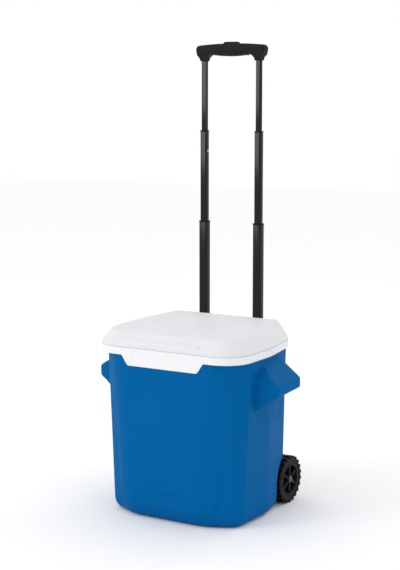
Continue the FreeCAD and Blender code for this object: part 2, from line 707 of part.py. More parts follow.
def handle_bar():
    """The whole grip: its front view, with the long edges chamfered."""
    front, rear = TUBE_Y - HANDLE_DEPTH / 2, TUBE_Y + HANDLE_DEPTH / 2
    low, high, cut = SOCKET_Z, HANDLE_TOP_Z, HANDLE_CHAMFER
    end_view = [
        (front + cut, low), (rear - cut, low), (rear, low + cut), (rear, high - cut),
        (rear - cut, high), (front + cut, high), (front, high - cut), (front, low + cut),
    ]
    wire = Part.makePolygon([V(-HANDLE_HALF_WIDTH, y, z) for y, z in end_view + end_view[:1]])
    section = Part.Face(wire).extrude(V(2 * HANDLE_HALF_WIDTH, 0, 0))
    return prism_y(handle_outline(), front, rear).common(section)


def button_plan(gap):
    return rectangle(0, TUBE_Y, (BUTTON_WIDTH + 2 * gap, BUTTON_DEPTH + 2 * gap, 4.0))


def crossbar_box(gap, drop):
    half = TUBE_X + 3.0 + gap
    deep = CROSSBAR_HALF_DEPTH + gap
    return box((-half, TUBE_Y - deep, CROSSBAR_LOW_Z - gap - drop), (half, TUBE_Y + deep, BUTTON_LOW_Z + gap))


def handle_halves():
    bar = handle_bar()
    for side in (-1, 1):
        bar = bar.cut(on_side(at_tube(INNER_SIZE, SOCKET_Z - 1, SOCKET_Z + SEAT_DEPTH), side))
    button_room = prism(button_plan(BUTTON_GAP), BUTTON_LOW_Z - BUTTON_TRAVEL - CROSSBAR_GAP, HANDLE_TOP_Z + 5)
    spring_room = Part.makeCylinder(SPRING_ROOM, CAVITY_HIGH_Z - CAVITY_LOW_Z, V(0, TUBE_Y, CAVITY_LOW_Z))
    bar = bar.cut(crossbar_box(CROSSBAR_GAP, BUTTON_TRAVEL)).cut(button_room).cut(spring_room)
    bar = bar.cut(screw_holes(HANDLE_SCREWS, HANDLE_BACK, HANDLE_SCREW_LENGTH))
    low, high = SOCKET_Z - 10, HANDLE_TOP_Z + 10
    front = bar.common(box((-FAR, TUBE_Y - FAR, low), (FAR, TUBE_Y, high)))
    rear = bar.common(box((-FAR, TUBE_Y, low), (FAR, TUBE_Y + FAR, high)))
    return front, rear


def release_button():
    top = HANDLE_TOP_Z + BUTTON_RISE
    plan = button_plan(0.0)
    return stack([(plan, BUTTON_LOW_Z), (plan, top - 1.5), (inset(plan, 1.5), top)])


def push_rods():
    """Thin rods from the crossbar down inside the inner tubes."""
    low = INNER_LOW_Z + 6.0
    right = Part.makeCylinder(ROD_RADIUS, CROSSBAR_LOW_Z - low, V(TUBE_X + ROD_OFFSET, TUBE_Y, low))
    return Part.makeCompound([right, mirrored(right)])


def button_spring():
    """Coil spring under the crossbar that lifts the button."""
    height = CROSSBAR_LOW_Z - CAVITY_LOW_Z - 2 * SPRING_WIRE - 0.4
    helix = Part.makeHelix(height / SPRING_TURNS, height, SPRING_RADIUS)
    slope = height / SPRING_TURNS / (2 * math.pi * SPRING_RADIUS)
    wire = Part.Wire(Part.makeCircle(SPRING_WIRE, V(SPRING_RADIUS, 0, 0), V(0, 1, slope)))
    coil = Part.Wire(helix).makePipeShell([wire], True, True)
    coil.translate(V(0, TUBE_Y, CAVITY_LOW_Z + SPRING_WIRE + 0.2))
    return coil


# ---- build ----
os.makedirs("parts", exist_ok=True)
save("outer_shell", outer_shell())
save("inner_liner", inner_liner())
save("foam_core", foam_core())
save("lid_cover", lid_cover())
save("lid_liner", lid_liner())
save("lid_foam", lid_foam())
save("handle_housing", handle_housing())
save("housing_screws", screws(HOUSING_SCREWS, HOUSING_BACK, HOUSING_SCREW_LENGTH))
save("axle_rod", rod_x(AXLE_RADIUS, -AXLE_HALF, AXLE_HALF, WHEEL_Y, WHEEL_RADIUS))
save("axle_washers", Part.makeCompound([washer(BOSS_X), mirrored(washer(BOSS_X))]))
front_half, rear_half = handle_halves()
save("handle_front", front_half)
save("handle_rear", rear_half)
save("handle_screws", screws(HANDLE_SCREWS, HANDLE_BACK, HANDLE_SCREW_LENGTH))
save("release_button", release_button())
save("button_crossbar", crossbar_box(0.0, 0.0))
save("push_rods", push_rods())
save("button_spring", button_spring())
for name, side in SIDES:
    save(name + "_wheel", on_side(wheel(), side))
    save(name + "_hub_cap", on_side(hub_cap(), side))
    save(name + "_tube_guide", on_side(bush(CHANNEL, OUTER_SIZE, OUTER_LOW_Z, HOUSING_TOP_Z), side))
    save(name + "_outer_tube", on_side(outer_tube(), side))
    save(name + "_outer_stop", on_side(outer_stop(), side))
    save(name + "_outer_bush", on_side(tube_bush(OUTER_SIZE, OUTER_BORE, MID_SIZE, OUTER_TOP_Z), side))
    save(name + "_mid_tube", on_side(mid_tube(), side))
    save(name + "_mid_slider", on_side(slider(OUTER_BORE, MID_LOW_Z), side))
    save(name + "_mid_bush", on_side(tube_bush(MID_SIZE, MID_BORE, INNER_SIZE, MID_TOP_Z), side))
    save(name + "_inner_tube", on_side(inner_tube(), side))
    save(name + "_inner_slider", on_side(slider(MID_BORE, INNER_LOW_Z), side))
    save(name + "_snap_button", on_side(snap_button(), side))
print("the outer tubes slide down by %.1f mm" % OUTER_TRAVEL)
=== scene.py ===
# %% [markdown]
# # A wheeled cooler, finished round its CAD frame
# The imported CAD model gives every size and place. This script keeps those sizes and gives each visible
# piece a moulded, rounded mesh and a finish of its own. Lengths are in millimetres until a mesh is made.

# %% Load the frame
import json
import math

import bmesh
import bpy
import numpy as np
from mathutils import Matrix, Vector


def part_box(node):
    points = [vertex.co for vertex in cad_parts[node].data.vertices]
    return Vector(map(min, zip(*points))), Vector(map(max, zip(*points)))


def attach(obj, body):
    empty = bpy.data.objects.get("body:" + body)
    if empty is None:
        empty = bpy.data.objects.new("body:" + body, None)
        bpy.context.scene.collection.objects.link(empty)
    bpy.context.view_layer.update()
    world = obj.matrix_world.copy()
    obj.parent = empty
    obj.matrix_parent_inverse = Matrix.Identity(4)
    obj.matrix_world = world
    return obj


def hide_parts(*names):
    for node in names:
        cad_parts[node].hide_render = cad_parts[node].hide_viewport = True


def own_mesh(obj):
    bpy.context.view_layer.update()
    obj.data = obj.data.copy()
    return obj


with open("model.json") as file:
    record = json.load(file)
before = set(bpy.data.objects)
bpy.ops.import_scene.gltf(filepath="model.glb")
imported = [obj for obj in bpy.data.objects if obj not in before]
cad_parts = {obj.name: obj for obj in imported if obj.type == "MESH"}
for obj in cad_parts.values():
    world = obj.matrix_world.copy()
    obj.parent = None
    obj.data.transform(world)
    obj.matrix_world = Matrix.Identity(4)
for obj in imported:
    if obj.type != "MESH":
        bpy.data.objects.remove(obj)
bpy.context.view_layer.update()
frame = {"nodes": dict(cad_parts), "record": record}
MM = 0.001


def node_box(name):
    """A CAD node's corners in millimetres."""
    low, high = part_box(name)
    return np.array(low) / MM, np.array(high) / MM


# %% [markdown]
# ## Camera, floor and light
# The cooler is seen from its front right, a little above the lid, from about three metres. A long lens
# keeps the handle's tubes nearly parallel. Two large soft lights and a pale room stand in for a studio.

# %% Camera
AZIMUTH = math.radians(31.7)
PITCH = math.radians(7.9)
camera_data = bpy.data.cameras.new("camera")
camera_data.lens = 87.4
camera_data.sensor_width = 36.0
camera = bpy.data.objects.new("camera", camera_data)
camera.location = (1.5308, -2.4914, 0.8886)
camera.rotation_euler = (math.pi / 2 - PITCH, 0.0, AZIMUTH)
bpy.context.scene.collection.objects.link(camera)
bpy.context.scene.camera = camera
bpy.context.scene.view_settings.view_transform = "Standard"
print("camera", tuple(round(v, 3) for v in camera.location))


# %% Shader sockets that add and multiply
class Socket:
    """One output of a shader node, with arithmetic that adds the Math nodes."""

    def __init__(self, shader, output):
        self.shader = shader
        self.output = output

    def maths(self, operation, first, second):
        return self.shader.node("ShaderNodeMath", {"operation": operation}, {0: first, 1: second})

    def __add__(self, other):
        return self.maths("ADD", self, other)

    def __mul__(self, other):
        return self.maths("MULTIPLY", self, other)

    def __sub__(self, other):
        return self.maths("SUBTRACT", self, other)

    def __rsub__(self, other):
        return self.maths("SUBTRACT", other, self)

    __radd__ = __add__
    __rmul__ = __mul__


class Shader:
    """A material whose nodes are made by one method."""

    def __init__(self, name):
        self.material = bpy.data.materials.new(name)
        self.material.use_nodes = True
        self.tree = self.material.node_tree
        self.surface = self.tree.nodes["Principled BSDF"]

    def node(self, kind, settings=None, values=None, output=0):
        made = self.tree.nodes.new(kind)
        for key, value in (settings or {}).items():
            if key == "stops":
                ramp = made.color_ramp
                while len(ramp.elements) < len(value):
                    ramp.elements.new(0.5)
                for element, (place, level) in zip(ramp.elements, value):
                    element.position = place
                    element.color = (level, level, level, 1.0)
            else:
                setattr(made, key, value)
        for key, value in (values or {}).items():
            self.feed(made.inputs[key], value)
        return Socket(self, made.outputs[output])

    def feed(self, socket, value):
        if isinstance(value, Socket):
            self.tree.links.new(value.output, socket)
        else:
            socket.default_value = value

    def set(self, **values):
        for key, value in values.items():
            self.feed(self.surface.inputs[key.replace("_", " ")], value)

    def place(self, stretch=(1.0, 1.0, 1.0)):
        """Object coordinates in metres, stretched along an axis where a pattern needs it."""
        coordinates = self.node("ShaderNodeTexCoord", output=3)
        return self.node("ShaderNodeMapping", {}, {"Vector": coordinates, "Scale": stretch})

    def noise(self, place, scale, detail=2.0, rough=0.5):
        return self.node("ShaderNodeTexNoise", {}, {"Vector": place, "Scale": scale, "Detail": detail,
                                                    "Roughness": rough})

    def ramp(self, value, low, high):
        return self.node("ShaderNodeValToRGB", {"stops": ((low, 0.0), (high, 1.0))}, {0: value})

    def mix(self, share, first, second):
        return self.node("ShaderNodeMix", {"data_type": "RGBA"}, {0: share, 6: first, 7: second}, output=2)

    def bump(self, height, strength, distance, below=None):
        values = {"Height": height, "Strength": strength, "Distance": distance}
        if below is not None:
            values["Normal"] = below
        return self.node("ShaderNodeBump", {}, values)


def tone(colour, factor=1.0):
    """A display colour, 0 to 255, as the linear colour a shader wants."""
    linear = [(c / 255.0 / 12.92) if c < 10.3 else ((c / 255.0 + 0.055) / 1.055) ** 2.4 for c in colour]
    return (*[min(c * factor, 1.0) for c in linear], 1.0)


# %% [markdown]
# ## Finishes
# Every plastic here is moulded, so each finish is built the same way: a base colour that drifts a little,
# a fine grain from the mould's etched face, and a roughness that varies with both. What differs is the
# grain's size and depth: coarse on the blue tub, finer on the lid, almost none on the white band.

# %% Moulded plastics
def moulded(name, colour, drift, grain, depth, roughness, spread, scuff=0.0, gloss=0.18, refraction=1.4):
    shader = Shader(name)
    place = shader.place()
    slow = shader.noise(place, 9.0, 3.0)
    fine = shader.noise(place, grain, 2.0, 0.6)
    cells = shader.node("ShaderNodeTexVoronoi", {"feature": "SMOOTH_F1"},
                        {"Vector": place, "Scale": grain * 0.55})
    grainy = fine * 0.6 + cells * 0.55
    clouds = shader.ramp(slow, 0.3, 0.72)
    base = shader.mix(clouds, tone(colour, 1.0 - drift), tone(colour, 1.0 + drift))
    speckled = shader.mix(shader.ramp(grainy, 0.25, 0.75), tone(colour, 0.88), base)
    if scuff:
        streaks = shader.noise(shader.place((2.0, 2.0, 14.0)), 38.0, 5.0, 0.72)
        marks = shader.ramp(streaks, 0.66, 0.8) * scuff
        speckled = shader.mix(marks, speckled, tone([min(255, c + 34) for c in colour]))
    shader.set(Base_Color=speckled, Roughness=slow * spread + (roughness - spread / 2),
               Specular_IOR_Level=gloss,
               IOR=refraction, Normal=shader.bump(grainy, depth, 0.0006))
    return shader.material


BLUE = moulded("blue_moulded", (0, 95, 158), 0.05, 900.0, 0.55, 0.5, 0.12, 0.05, 0.1, 1.2)
LID_GREY = moulded("lid_grey_moulded", (226, 227, 230), 0.02, 1300.0, 0.2, 0.5, 0.10, 0.03)
WHITE = moulded("white_band", (236, 237, 239), 0.012, 1500.0, 0.05, 0.38, 0.08)
HOUSING = moulded("housing_black", (16, 16, 18), 0.08, 1000.0, 0.3, 0.55, 0.14, 0.25)
WHEEL = moulded("wheel_black", (12, 12, 13), 0.12, 700.0, 0.28, 0.52, 0.18, 0.12)
GRIP = moulded("grip_grey", (24, 24, 26), 0.06, 1500.0, 0.35, 0.55, 0.12, 0.12)
DARK = moulded("bush_black", (14, 14, 16), 0.06, 1200.0, 0.14, 0.42, 0.10)
print("moulded finishes made")


# %% Foam, painted tubes and metal
def foam():
    shader = Shader("foam_beads")
    place = shader.place()
    beads = shader.node("ShaderNodeTexVoronoi", {}, {"Vector": place, "Scale": 260.0})
    base = shader.mix(shader.ramp(beads, 0.1, 0.6), tone((236, 228, 204)), tone((214, 203, 172)))
    shader.set(Base_Color=base, Roughness=0.9, Normal=shader.bump(1.0 - beads, 0.6, 0.001))
    return shader.material


def painted_tube():
    """Gloss black powder coat on aluminium: a slight ripple and faint marks from sliding in and out."""
    shader = Shader("tube_black")
    ripple = shader.noise(shader.place(), 220.0, 2.0)
    rub = shader.noise(shader.place((60.0, 60.0, 1.0)), 22.0, 4.0, 0.7)
    marks = shader.ramp(rub, 0.55, 0.85)
    base = shader.mix(marks * 0.5, tone((7, 7, 8)), tone((22, 22, 24)))
    shader.set(Base_Color=base, Roughness=marks * 0.12 + 0.14, Specular_IOR_Level=0.25,
               Normal=shader.bump(ripple, 0.05, 0.0004))
    return shader.material


def metal(name, colour, roughness, stretch):
    shader = Shader(name)
    lines = shader.noise(shader.place(stretch), 60.0, 4.0, 0.7)
    base = shader.mix(lines, tone(colour, 0.82), tone(colour, 1.08))
    shader.set(Base_Color=base, Metallic=1.0, Roughness=lines * 0.14 + roughness,
               Normal=shader.bump(lines, 0.08, 0.0003))
    return shader.material


FOAM = foam()
TUBE = painted_tube()
STEEL = metal("zinc_steel", (178, 180, 184), 0.28, (4.0, 40.0, 40.0))
CAP = metal("cap_steel", (96, 96, 100), 0.3, (30.0, 8.0, 8.0))
print("metal and foam finishes made")

SLOT_FINISH = {
    "shell_blue": BLUE, "lid_grey": LID_GREY, "liner_white": WHITE, "foam": FOAM, "housing_black": HOUSING,
    "wheel_black": WHEEL, "tube_black": TUBE, "grip_grey": GRIP, "button_black": DARK, "bush_black": DARK,
    "zinc_steel": STEEL, "cap_steel": CAP,
}
slot_of = {part["node"]: part["material_slot"] for part in frame["record"]["subparts"]}
for node_name, cad_object in frame["nodes"].items():
    cad_object.data.materials.clear()
    cad_object.data.materials.append(SLOT_FINISH[slot_of[node_name]])
print("finishes set on", len(slot_of), "cad nodes")

# %% Floor and lights
floor_mesh = bpy.data.meshes.new("floor")
floor_mesh.from_pydata([(-9, -9, 0), (9, -9, 0), (9, 9, 0), (-9, 9, 0)], [], [(0, 1, 2, 3)])
floor = bpy.data.objects.new("floor", floor_mesh)
bpy.context.scene.collection.objects.link(floor)
floor_look = Shader("studio_floor")
floor_look.set(Base_Color=(0.97, 0.97, 0.97, 1.0), Roughness=0.9)
floor_mesh.materials.append(floor_look.material)

world = bpy.data.worlds.new("studio")
world.use_nodes = True
world.node_tree.nodes["Background"].inputs["Color"].default_value = (1.0, 1.0, 1.0, 1.0)
world.node_tree.nodes["Background"].inputs["Strength"].default_value = 1.0
bpy.context.scene.world = world


def soft_light(name, place, size, power):
    data = bpy.data.lights.new(name, "AREA")
    data.energy = power
    data.size = size
    lamp = bpy.data.objects.new(name, data)
    lamp.location = place
    aim = Vector((0.0, 0.0, 0.35)) - lamp.location
    lamp.rotation_euler = aim.to_track_quat("-Z", "Y").to_euler()
    bpy.context.scene.collection.objects.link(lamp)


soft_light("key", (-1.9, -2.6, 1.9), 1.3, 22.0)
soft_light("rim", (0.6, 2.4, 2.4), 0.5, 6.0)
print("lights set")

# %% [markdown]
# ## Outlines
# The lid and the tub are stacks of rounded outlines, as a pattern maker would draw them: a few corners,
# each with its own radius. An outline is sampled into points, and a stack of them is skinned into one
# closed surface.

# %% Rounded outlines
SIDES = (("left", -1), ("right", 1))


def symmetric(half):
    """Close a right-hand outline, front to back, with its mirror image. Corners are (x, y, radius)."""
    return half + [(-x, y, radius) for x, y, radius in reversed(half)]


def between(low, high, share):
    return [tuple(a + (b - a) * share for a, b in zip(p, q)) for p, q in zip(low, high)]


def inset(corners, distance):
    """Move every edge of a counter-clockwise outline inwards."""
    moved = []
    for i, (x, y, radius) in enumerate(corners):
        before, after = corners[i - 1], corners[(i + 1) % len(corners)]
        into = Vector((x - before[0], y - before[1])).normalized()
        out = Vector((after[0] - x, after[1] - y)).normalized()
        normals = Vector((-into.y - out.y, into.x + out.x))
        shift = normals * (distance / (1 + into.dot(out)))
        convex = into.x * out.y - into.y * out.x > 0
        moved.append((x + shift.x, y + shift.y,
                      max(radius - distance if convex else radius + distance, 0.3)))
    return moved


def arcs(corners, steps):
    """For each corner, the points along its rounding."""
    rounded = []
    for i, (x, y, radius) in enumerate(corners):
        here = Vector((x, y))
        into = (here - Vector(corners[i - 1][:2])).normalized()
        out = (Vector(corners[(i + 1) % len(corners)][:2]) - here).normalized()
        turn = math.atan2(into.x * out.y - into.y * out.x, into.dot(out))
        reach = radius * math.tan(abs(turn) / 2)
        sign = 1 if turn > 0 else -1
        centre = here - into * reach + Vector((-into.y, into.x)) * radius * sign
        spoke = here - into * reach - centre
        points = []
        for k in range(steps + 1):
            angle = turn * k / steps
            points.append(centre + Vector((spoke.x * math.cos(angle) - spoke.y * math.sin(angle),
                                           spoke.x * math.sin(angle) + spoke.y * math.cos(angle))))
        rounded.append(points)
    return rounded


def straight_counts(corners, spacing):
    """How many parts each straight is cut into, so that every outline of a stack has the same points."""
    rounded = arcs(corners, 2)
    return [max(1, round((rounded[(i + 1) % len(rounded)][0] - points[-1]).length / spacing))
            for i, points in enumerate(rounded)]


def sampled(corners, counts, steps=8):
    """The outline as an array of points: arcs in equal steps, straights in their counts."""
    rounded = arcs(corners, steps)
    points = []
    for i, arc in enumerate(rounded):
        points += [tuple(p) for p in arc]
        goal = rounded[(i + 1) % len(rounded)][0]
        points += [tuple(arc[-1].lerp(goal, k / counts[i])) for k in range(1, counts[i])]
    return np.array(points)


# %% Skins
def new_piece(name, vertices, faces, material, sharp=34.0):
    """A mesh object at the origin, from millimetres; edges sharper than the angle stay sharp."""
    mesh = bpy.data.meshes.new(name)
    mesh.from_pydata([tuple(v) for v in np.asarray(vertices, float) * MM], [], faces)
    mesh.update()
    mesh.materials.append(material)
    piece = bpy.data.objects.new(name, mesh)
    bpy.context.scene.collection.objects.link(piece)
    soften(piece, sharp)
    return piece


def soften(piece, sharp=34.0):
    piece.data.shade_smooth()
    piece.data.set_sharp_from_angle(angle=math.radians(sharp))


def skin(name, rings, material, sharp=34.0, closed=True, loop=False):
    """Join rings of equal length; rings run from the lowest up, each counter-clockwise from above."""
    rings = [np.asarray(ring, float) for ring in rings]
    count = len(rings[0])
    vertices = list(np.concatenate(rings))
    faces = []
    last = len(rings) if loop else len(rings) - 1
    for r in range(last):
        a, b = r * count, ((r + 1) % len(rings)) * count
        for k in range(count):
            n = (k + 1) % count
            faces.append((a + k, a + n, b + n, b + k))
    if closed and not loop:
        for ring, start, order in ((rings[0], 0, -1), (rings[-1], (len(rings) - 1) * count, 1)):
            vertices.append(ring.mean(axis=0))
            hub = len(vertices) - 1
            for k in range(count):
                n = (k + 1) % count
                faces.append((hub, start + k, start + n) if order > 0 else (hub, start + n, start + k))
    return new_piece(name, vertices, faces, material, sharp)


def at_height(points, z):
    return np.column_stack([points, np.full(len(points), z)])


def bake(piece):
    """Replace the mesh by what the modifiers make of it."""
    depsgraph = bpy.context.evaluated_depsgraph_get()
    mesh = bpy.data.meshes.new_from_object(piece.evaluated_get(depsgraph))
    piece.modifiers.clear()
    piece.data = mesh
    return piece


def carve(piece, cutter, operation="DIFFERENCE", sharp=34.0):
    """Cut a shape out of a piece, or join it on, and throw the cutter away."""
    change = piece.modifiers.new("carve", "BOOLEAN")
    change.operation = operation
    change.solver = "EXACT"
    change.object = cutter
    bake(piece)
    bpy.data.objects.remove(cutter)
    soften(piece, sharp)
    return piece


def merge(name, parts, sharp=40.0):
    """Join several meshes into one piece."""
    with bpy.context.temp_override(active_object=parts[0], selected_editable_objects=parts):
        bpy.ops.object.join()
    parts[0].name = name
    soften(parts[0], sharp)
    return parts[0]


def smooth_step(value, start, end):
    share = np.clip((value - start) / (end - start), 0.0, 1.0)
    return share * share * (3 - 2 * share)


def soft_least(a, b, width):
    """The smaller of two values, with the corner between them rounded over a width."""
    share = np.clip(0.5 + 0.5 * (b - a) / width, 0.0, 1.0)
    return b + (a - b) * share - width * share * (1 - share)


def soft_most(a, b, width):
    return -soft_least(-a, -b, width)


def rounded_box_distance(x, z, centre, half, radius):
    """Distance outside a rounded rectangle, negative inside it."""
    dx = np.abs(x - centre[0]) - half[0] + radius
    dz = np.abs(z - centre[1]) - half[1] + radius
    outside = np.hypot(np.maximum(dx, 0), np.maximum(dz, 0))
    return outside + np.minimum(np.maximum(dx, dz), 0) - radius


def put(piece, body, *nodes):
    """Fix a piece to a body and let it stand for CAD nodes."""
    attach(piece, body)
    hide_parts(*nodes)
    print(piece.name, "triangles", sum(len(p.vertices) - 2 for p in piece.data.polygons))


# %% [markdown]
# ## The tub
# The blue shell is one moulding. Its plan is drawn at the rim and at the base and blended between them,
# which gives the taper. The front panel, the blank badge, the carrying grips and the hollow under each
# grip are pushed out of or into that skin, so their edges run out softly as they do from a mould. The
# wheel wells and finger pockets are cut afterwards, because a skin of rings can't fold back under itself.

# %% Tub plans
shell_high = node_box("outer_shell")[1]
lid_low, lid_high = node_box("lid_cover")
RIM_Z = shell_high[2]
BASE_Z = 2.5
REAR_Y = lid_high[1]
LID_SIDE = lid_high[0]
LID_FRONT = lid_low[1]
SHELL_SIDE = LID_SIDE - 3.0
SHELL_FRONT = LID_FRONT + 3.0
BASE_SIDE = SHELL_SIDE - 12.5
BASE_FRONT = SHELL_FRONT + 11.0
RIM_PLAN = symmetric([
    (SHELL_SIDE - 56.0, SHELL_FRONT, 60.0), (SHELL_SIDE - 17.0, SHELL_FRONT + 32.0, 45.0),
    (SHELL_SIDE, SHELL_FRONT + 65.0, 5.0), (SHELL_SIDE - 5.0, -8.0, 150.0),
    (SHELL_SIDE - 24.0, REAR_Y, 14.0),
])
BASE_PLAN = symmetric([
    (BASE_SIDE - 76.0, BASE_FRONT, 90.0), (BASE_SIDE - 13.0, BASE_FRONT + 30.0, 22.0),
    (BASE_SIDE - 2.5, BASE_FRONT + 48.0, 5.0), (BASE_SIDE + 1.0, -2.0, 120.0),
    (BASE_SIDE - 19.5, REAR_Y, 14.0),
])
EDGE_INSET = 15.0
EDGE_RISE = 24.0
SHELL_WALL = 3.0
tub_counts = straight_counts(RIM_PLAN, 2.6)


def tub_ring(z, offset=0.0, steps=7):
    share = (z - BASE_Z) / (RIM_Z - BASE_Z)
    return at_height(sampled(inset(between(BASE_PLAN, RIM_PLAN, share), offset), tub_counts, steps), z)


def tub_rings(offset, top, spacing):
    rings = []
    for k in range(7):
        angle = math.pi / 2 * k / 7
        z = BASE_Z + offset + EDGE_RISE * (1 - math.cos(angle))
        rings.append(tub_ring(z, offset + EDGE_INSET * (1 - math.sin(angle))))
    start = BASE_Z + offset + EDGE_RISE
    count = round((top - start) / spacing)
    rings += [tub_ring(start + (top - start) * k / count, offset) for k in range(count + 1)]
    return rings


# %% Relief pushed out of the tub's skin
GRIP_REACH = shell_high[0]
GRIP_FRONT = SHELL_FRONT + 86.5
GRIP_REAR = GRIP_FRONT + 115.0
PANEL_RAISE = 3.2
DENT = 1.2


def front_relief(x, z):
    """How far the front stands out: a panel that fades upwards, and a blank badge."""
    panel = 1 - smooth_step(rounded_box_distance(x, z, (0.0, 210.0), (120.0, 184.0), 30.0), -2.5, 2.0)
    badge = 1 - smooth_step(rounded_box_distance(x, z, (-3.0, 69.0), (31.0, 6.0), 5.0), -1.2, 0.8)
    return panel * PANEL_RAISE * smooth_step(z, 250.0, 70.0) + badge * 2.0


def grip_reach(y, z):
    """The carrying grip's outer surface, as the width it reaches at each place on the side."""
    along = np.clip((y - GRIP_FRONT) / (GRIP_REAR - GRIP_FRONT), -0.2, 1.2)
    high, middle, low = 297.5 + 5.5 * along, 276.0 + 7.0 * along, 240.0 + 16.0 * along
    wall = 328.0 + 3.5 * along
    top_slope = SHELL_SIDE + (wall - z) / (wall - high) * (GRIP_REACH - SHELL_SIDE)
    under_slope = SHELL_SIDE - 6.0 + (z - low) / (middle - low) * (GRIP_REACH - SHELL_SIDE + 6.0)
    brow = GRIP_FRONT + 1.7 * np.maximum(z - 310.0, 0.0)
    front = SHELL_SIDE - 2.0 + (y - brow) * 7.0
    rear = SHELL_SIDE - 2.0 + (GRIP_REAR - y) * 4.0
    reach = soft_least(np.full_like(z, GRIP_REACH), top_slope, 5.0)
    reach = soft_least(reach, under_slope, 4.0)
    reach = soft_least(reach, front, 12.0)
    return soft_least(reach, rear, 16.0)


def dent_depth(y, z):
    """The shallow hollow in the side wall that gives the knuckles room under the grip."""
    return DENT * (1 - smooth_step(rounded_box_distance(y, z, (-2.0, 232.0), (72.0, 26.0), 16.0), -6.0,
                                   2.0))


def add_dents(rings):
    for ring in rings:
        side = (ring[:, 1] > -94.0) & (ring[:, 1] < REAR_Y - 12.0)
        ring[side, 0] -= np.sign(ring[side, 0]) * dent_depth(ring[side, 1], ring[side, 2])
    return rings


def add_relief(rings):
    for ring in rings:
        x, y, z = ring[:, 0], ring[:, 1], ring[:, 2]
        front = (y < -100.0)
        ring[front, 1] -= front_relief(x[front], z[front])
        side = (y > -97.5) & (y < REAR_Y - 12.0)
        width = np.abs(x[side])
        width = width - dent_depth(y[side], z[side])
        width = soft_most(width, grip_reach(y[side], z[side]), 3.0)
        ring[side, 0] = np.sign(x[side]) * np.minimum(width, GRIP_REACH)
    return rings


# %% Cutters for the wheel wells and the finger pockets
wheel_low, wheel_high = node_box("right_wheel")
WHEEL_Y = (wheel_low[1] + wheel_high[1]) / 2
WHEEL_R = (wheel_high[2] - wheel_low[2]) / 2
WELL_GAP = 6.0


def well_cutter(side, grow):
    """A round-topped tunnel over the wheel, out through the side and the floor."""
    radius = WHEEL_R + WELL_GAP + grow
    inner, outer = wheel_low[0] - WELL_GAP - grow, LID_SIDE + 40.0
    half = [(radius * math.cos(math.pi * k / 40), radius * math.sin(math.pi * k / 40)) for k in range(41)]
    profile = [(-radius, -WHEEL_R - 20.0)] + [(radius, -WHEEL_R - 20.0)] + half
    rings = [[(x * side, WHEEL_Y + dy, WHEEL_R + dz) for dy, dz in profile] for x in (inner, outer)]
    cutter = skin("well", rings if side > 0 else rings, DARK)
    fix_normals(cutter)
    return cutter


def fix_normals(piece):
    work = bmesh.new()
    work.from_mesh(piece.data)
    bmesh.ops.remove_doubles(work, verts=work.verts, dist=1e-6)
    bmesh.ops.recalc_face_normals(work, faces=work.faces)
    work.to_mesh(piece.data)
    work.free()


def pocket_cutter(side):
    """The finger room inside a grip, open downwards."""
    inner, outer = SHELL_SIDE + 1.5, GRIP_REACH - 5.5
    plan = [(inner, GRIP_FRONT + 8.0, 3.0), (outer, GRIP_FRONT + 11.0, 9.0), (outer, GRIP_REAR - 13.0, 9.0),
            (inner, GRIP_REAR - 8.0, 3.0)]
    counts = [4, 12, 4, 12]
    rings = []
    for z, tuck in ((225.0, 0.0), (284.0, 0.0), (289.0, 1.5), (291.0, 5.0)):
        ring = at_height(sampled(inset(plan, tuck), counts, 6), z)
        ring[:, 0] *= side
        rings.append(ring)
    cutter = skin("pocket", rings, BLUE)
    fix_normals(cutter)
    return cutter


# %% The shell
shell = skin("tub_shell", add_relief(tub_rings(0.0, RIM_Z, 2.8)), BLUE)
hollow = skin("hollow", add_dents(tub_rings(SHELL_WALL, RIM_Z + 5.0, 6.0)), BLUE)
for side_name, side in SIDES:
    carve(shell, well_cutter(side, 0.0))
    carve(shell, pocket_cutter(side))
    carve(hollow, well_cutter(side, SHELL_WALL))
carve(shell, hollow, sharp=38.0)
put(shell, "tub", "outer_shell")

# %% [markdown]
# ## The lid
# The lid's grey top is one soft form: a plateau that falls a little to the front, and a long flat bevel
# round the front and sides. The bevel is a stack of outlines that draw in as they rise. It meets the
# plateau through a soft minimum of the two heights, which rounds the crease between them. The pad over
# the pull tab is pushed out of the same skin, so the crease round it stays thin and soft.

# %% Lid plans
LID_BACK_Z = lid_high[2]
PARTING_Z = RIM_Z + 16.0
PLATEAU_FALL = 9.0
LID_PLAN = symmetric([(LID_SIDE, LID_FRONT, 60.0), (LID_SIDE, -19.5, 150.0),
                      (LID_SIDE - 22.0, REAR_Y, 14.0)])
PLATEAU_PLAN = symmetric([
    (LID_SIDE - 31.0, LID_FRONT + 31.0, 34.0), (LID_SIDE - 31.0, -19.5, 120.0),
    (LID_SIDE - 50.0, REAR_Y - 3.0, 8.0),
])
lid_counts = straight_counts(LID_PLAN, 3.0)


def lid_ring(share, z, offset=0.0, steps=12):
    plan = inset(between(LID_PLAN, PLATEAU_PLAN, share), offset)
    return at_height(sampled(plan, lid_counts, steps), z)


def lid_top_height(y):
    """The plateau falls a little towards the front."""
    return LID_BACK_Z - PLATEAU_FALL * (REAR_Y - y) / (REAR_Y - LID_FRONT - 24.5)


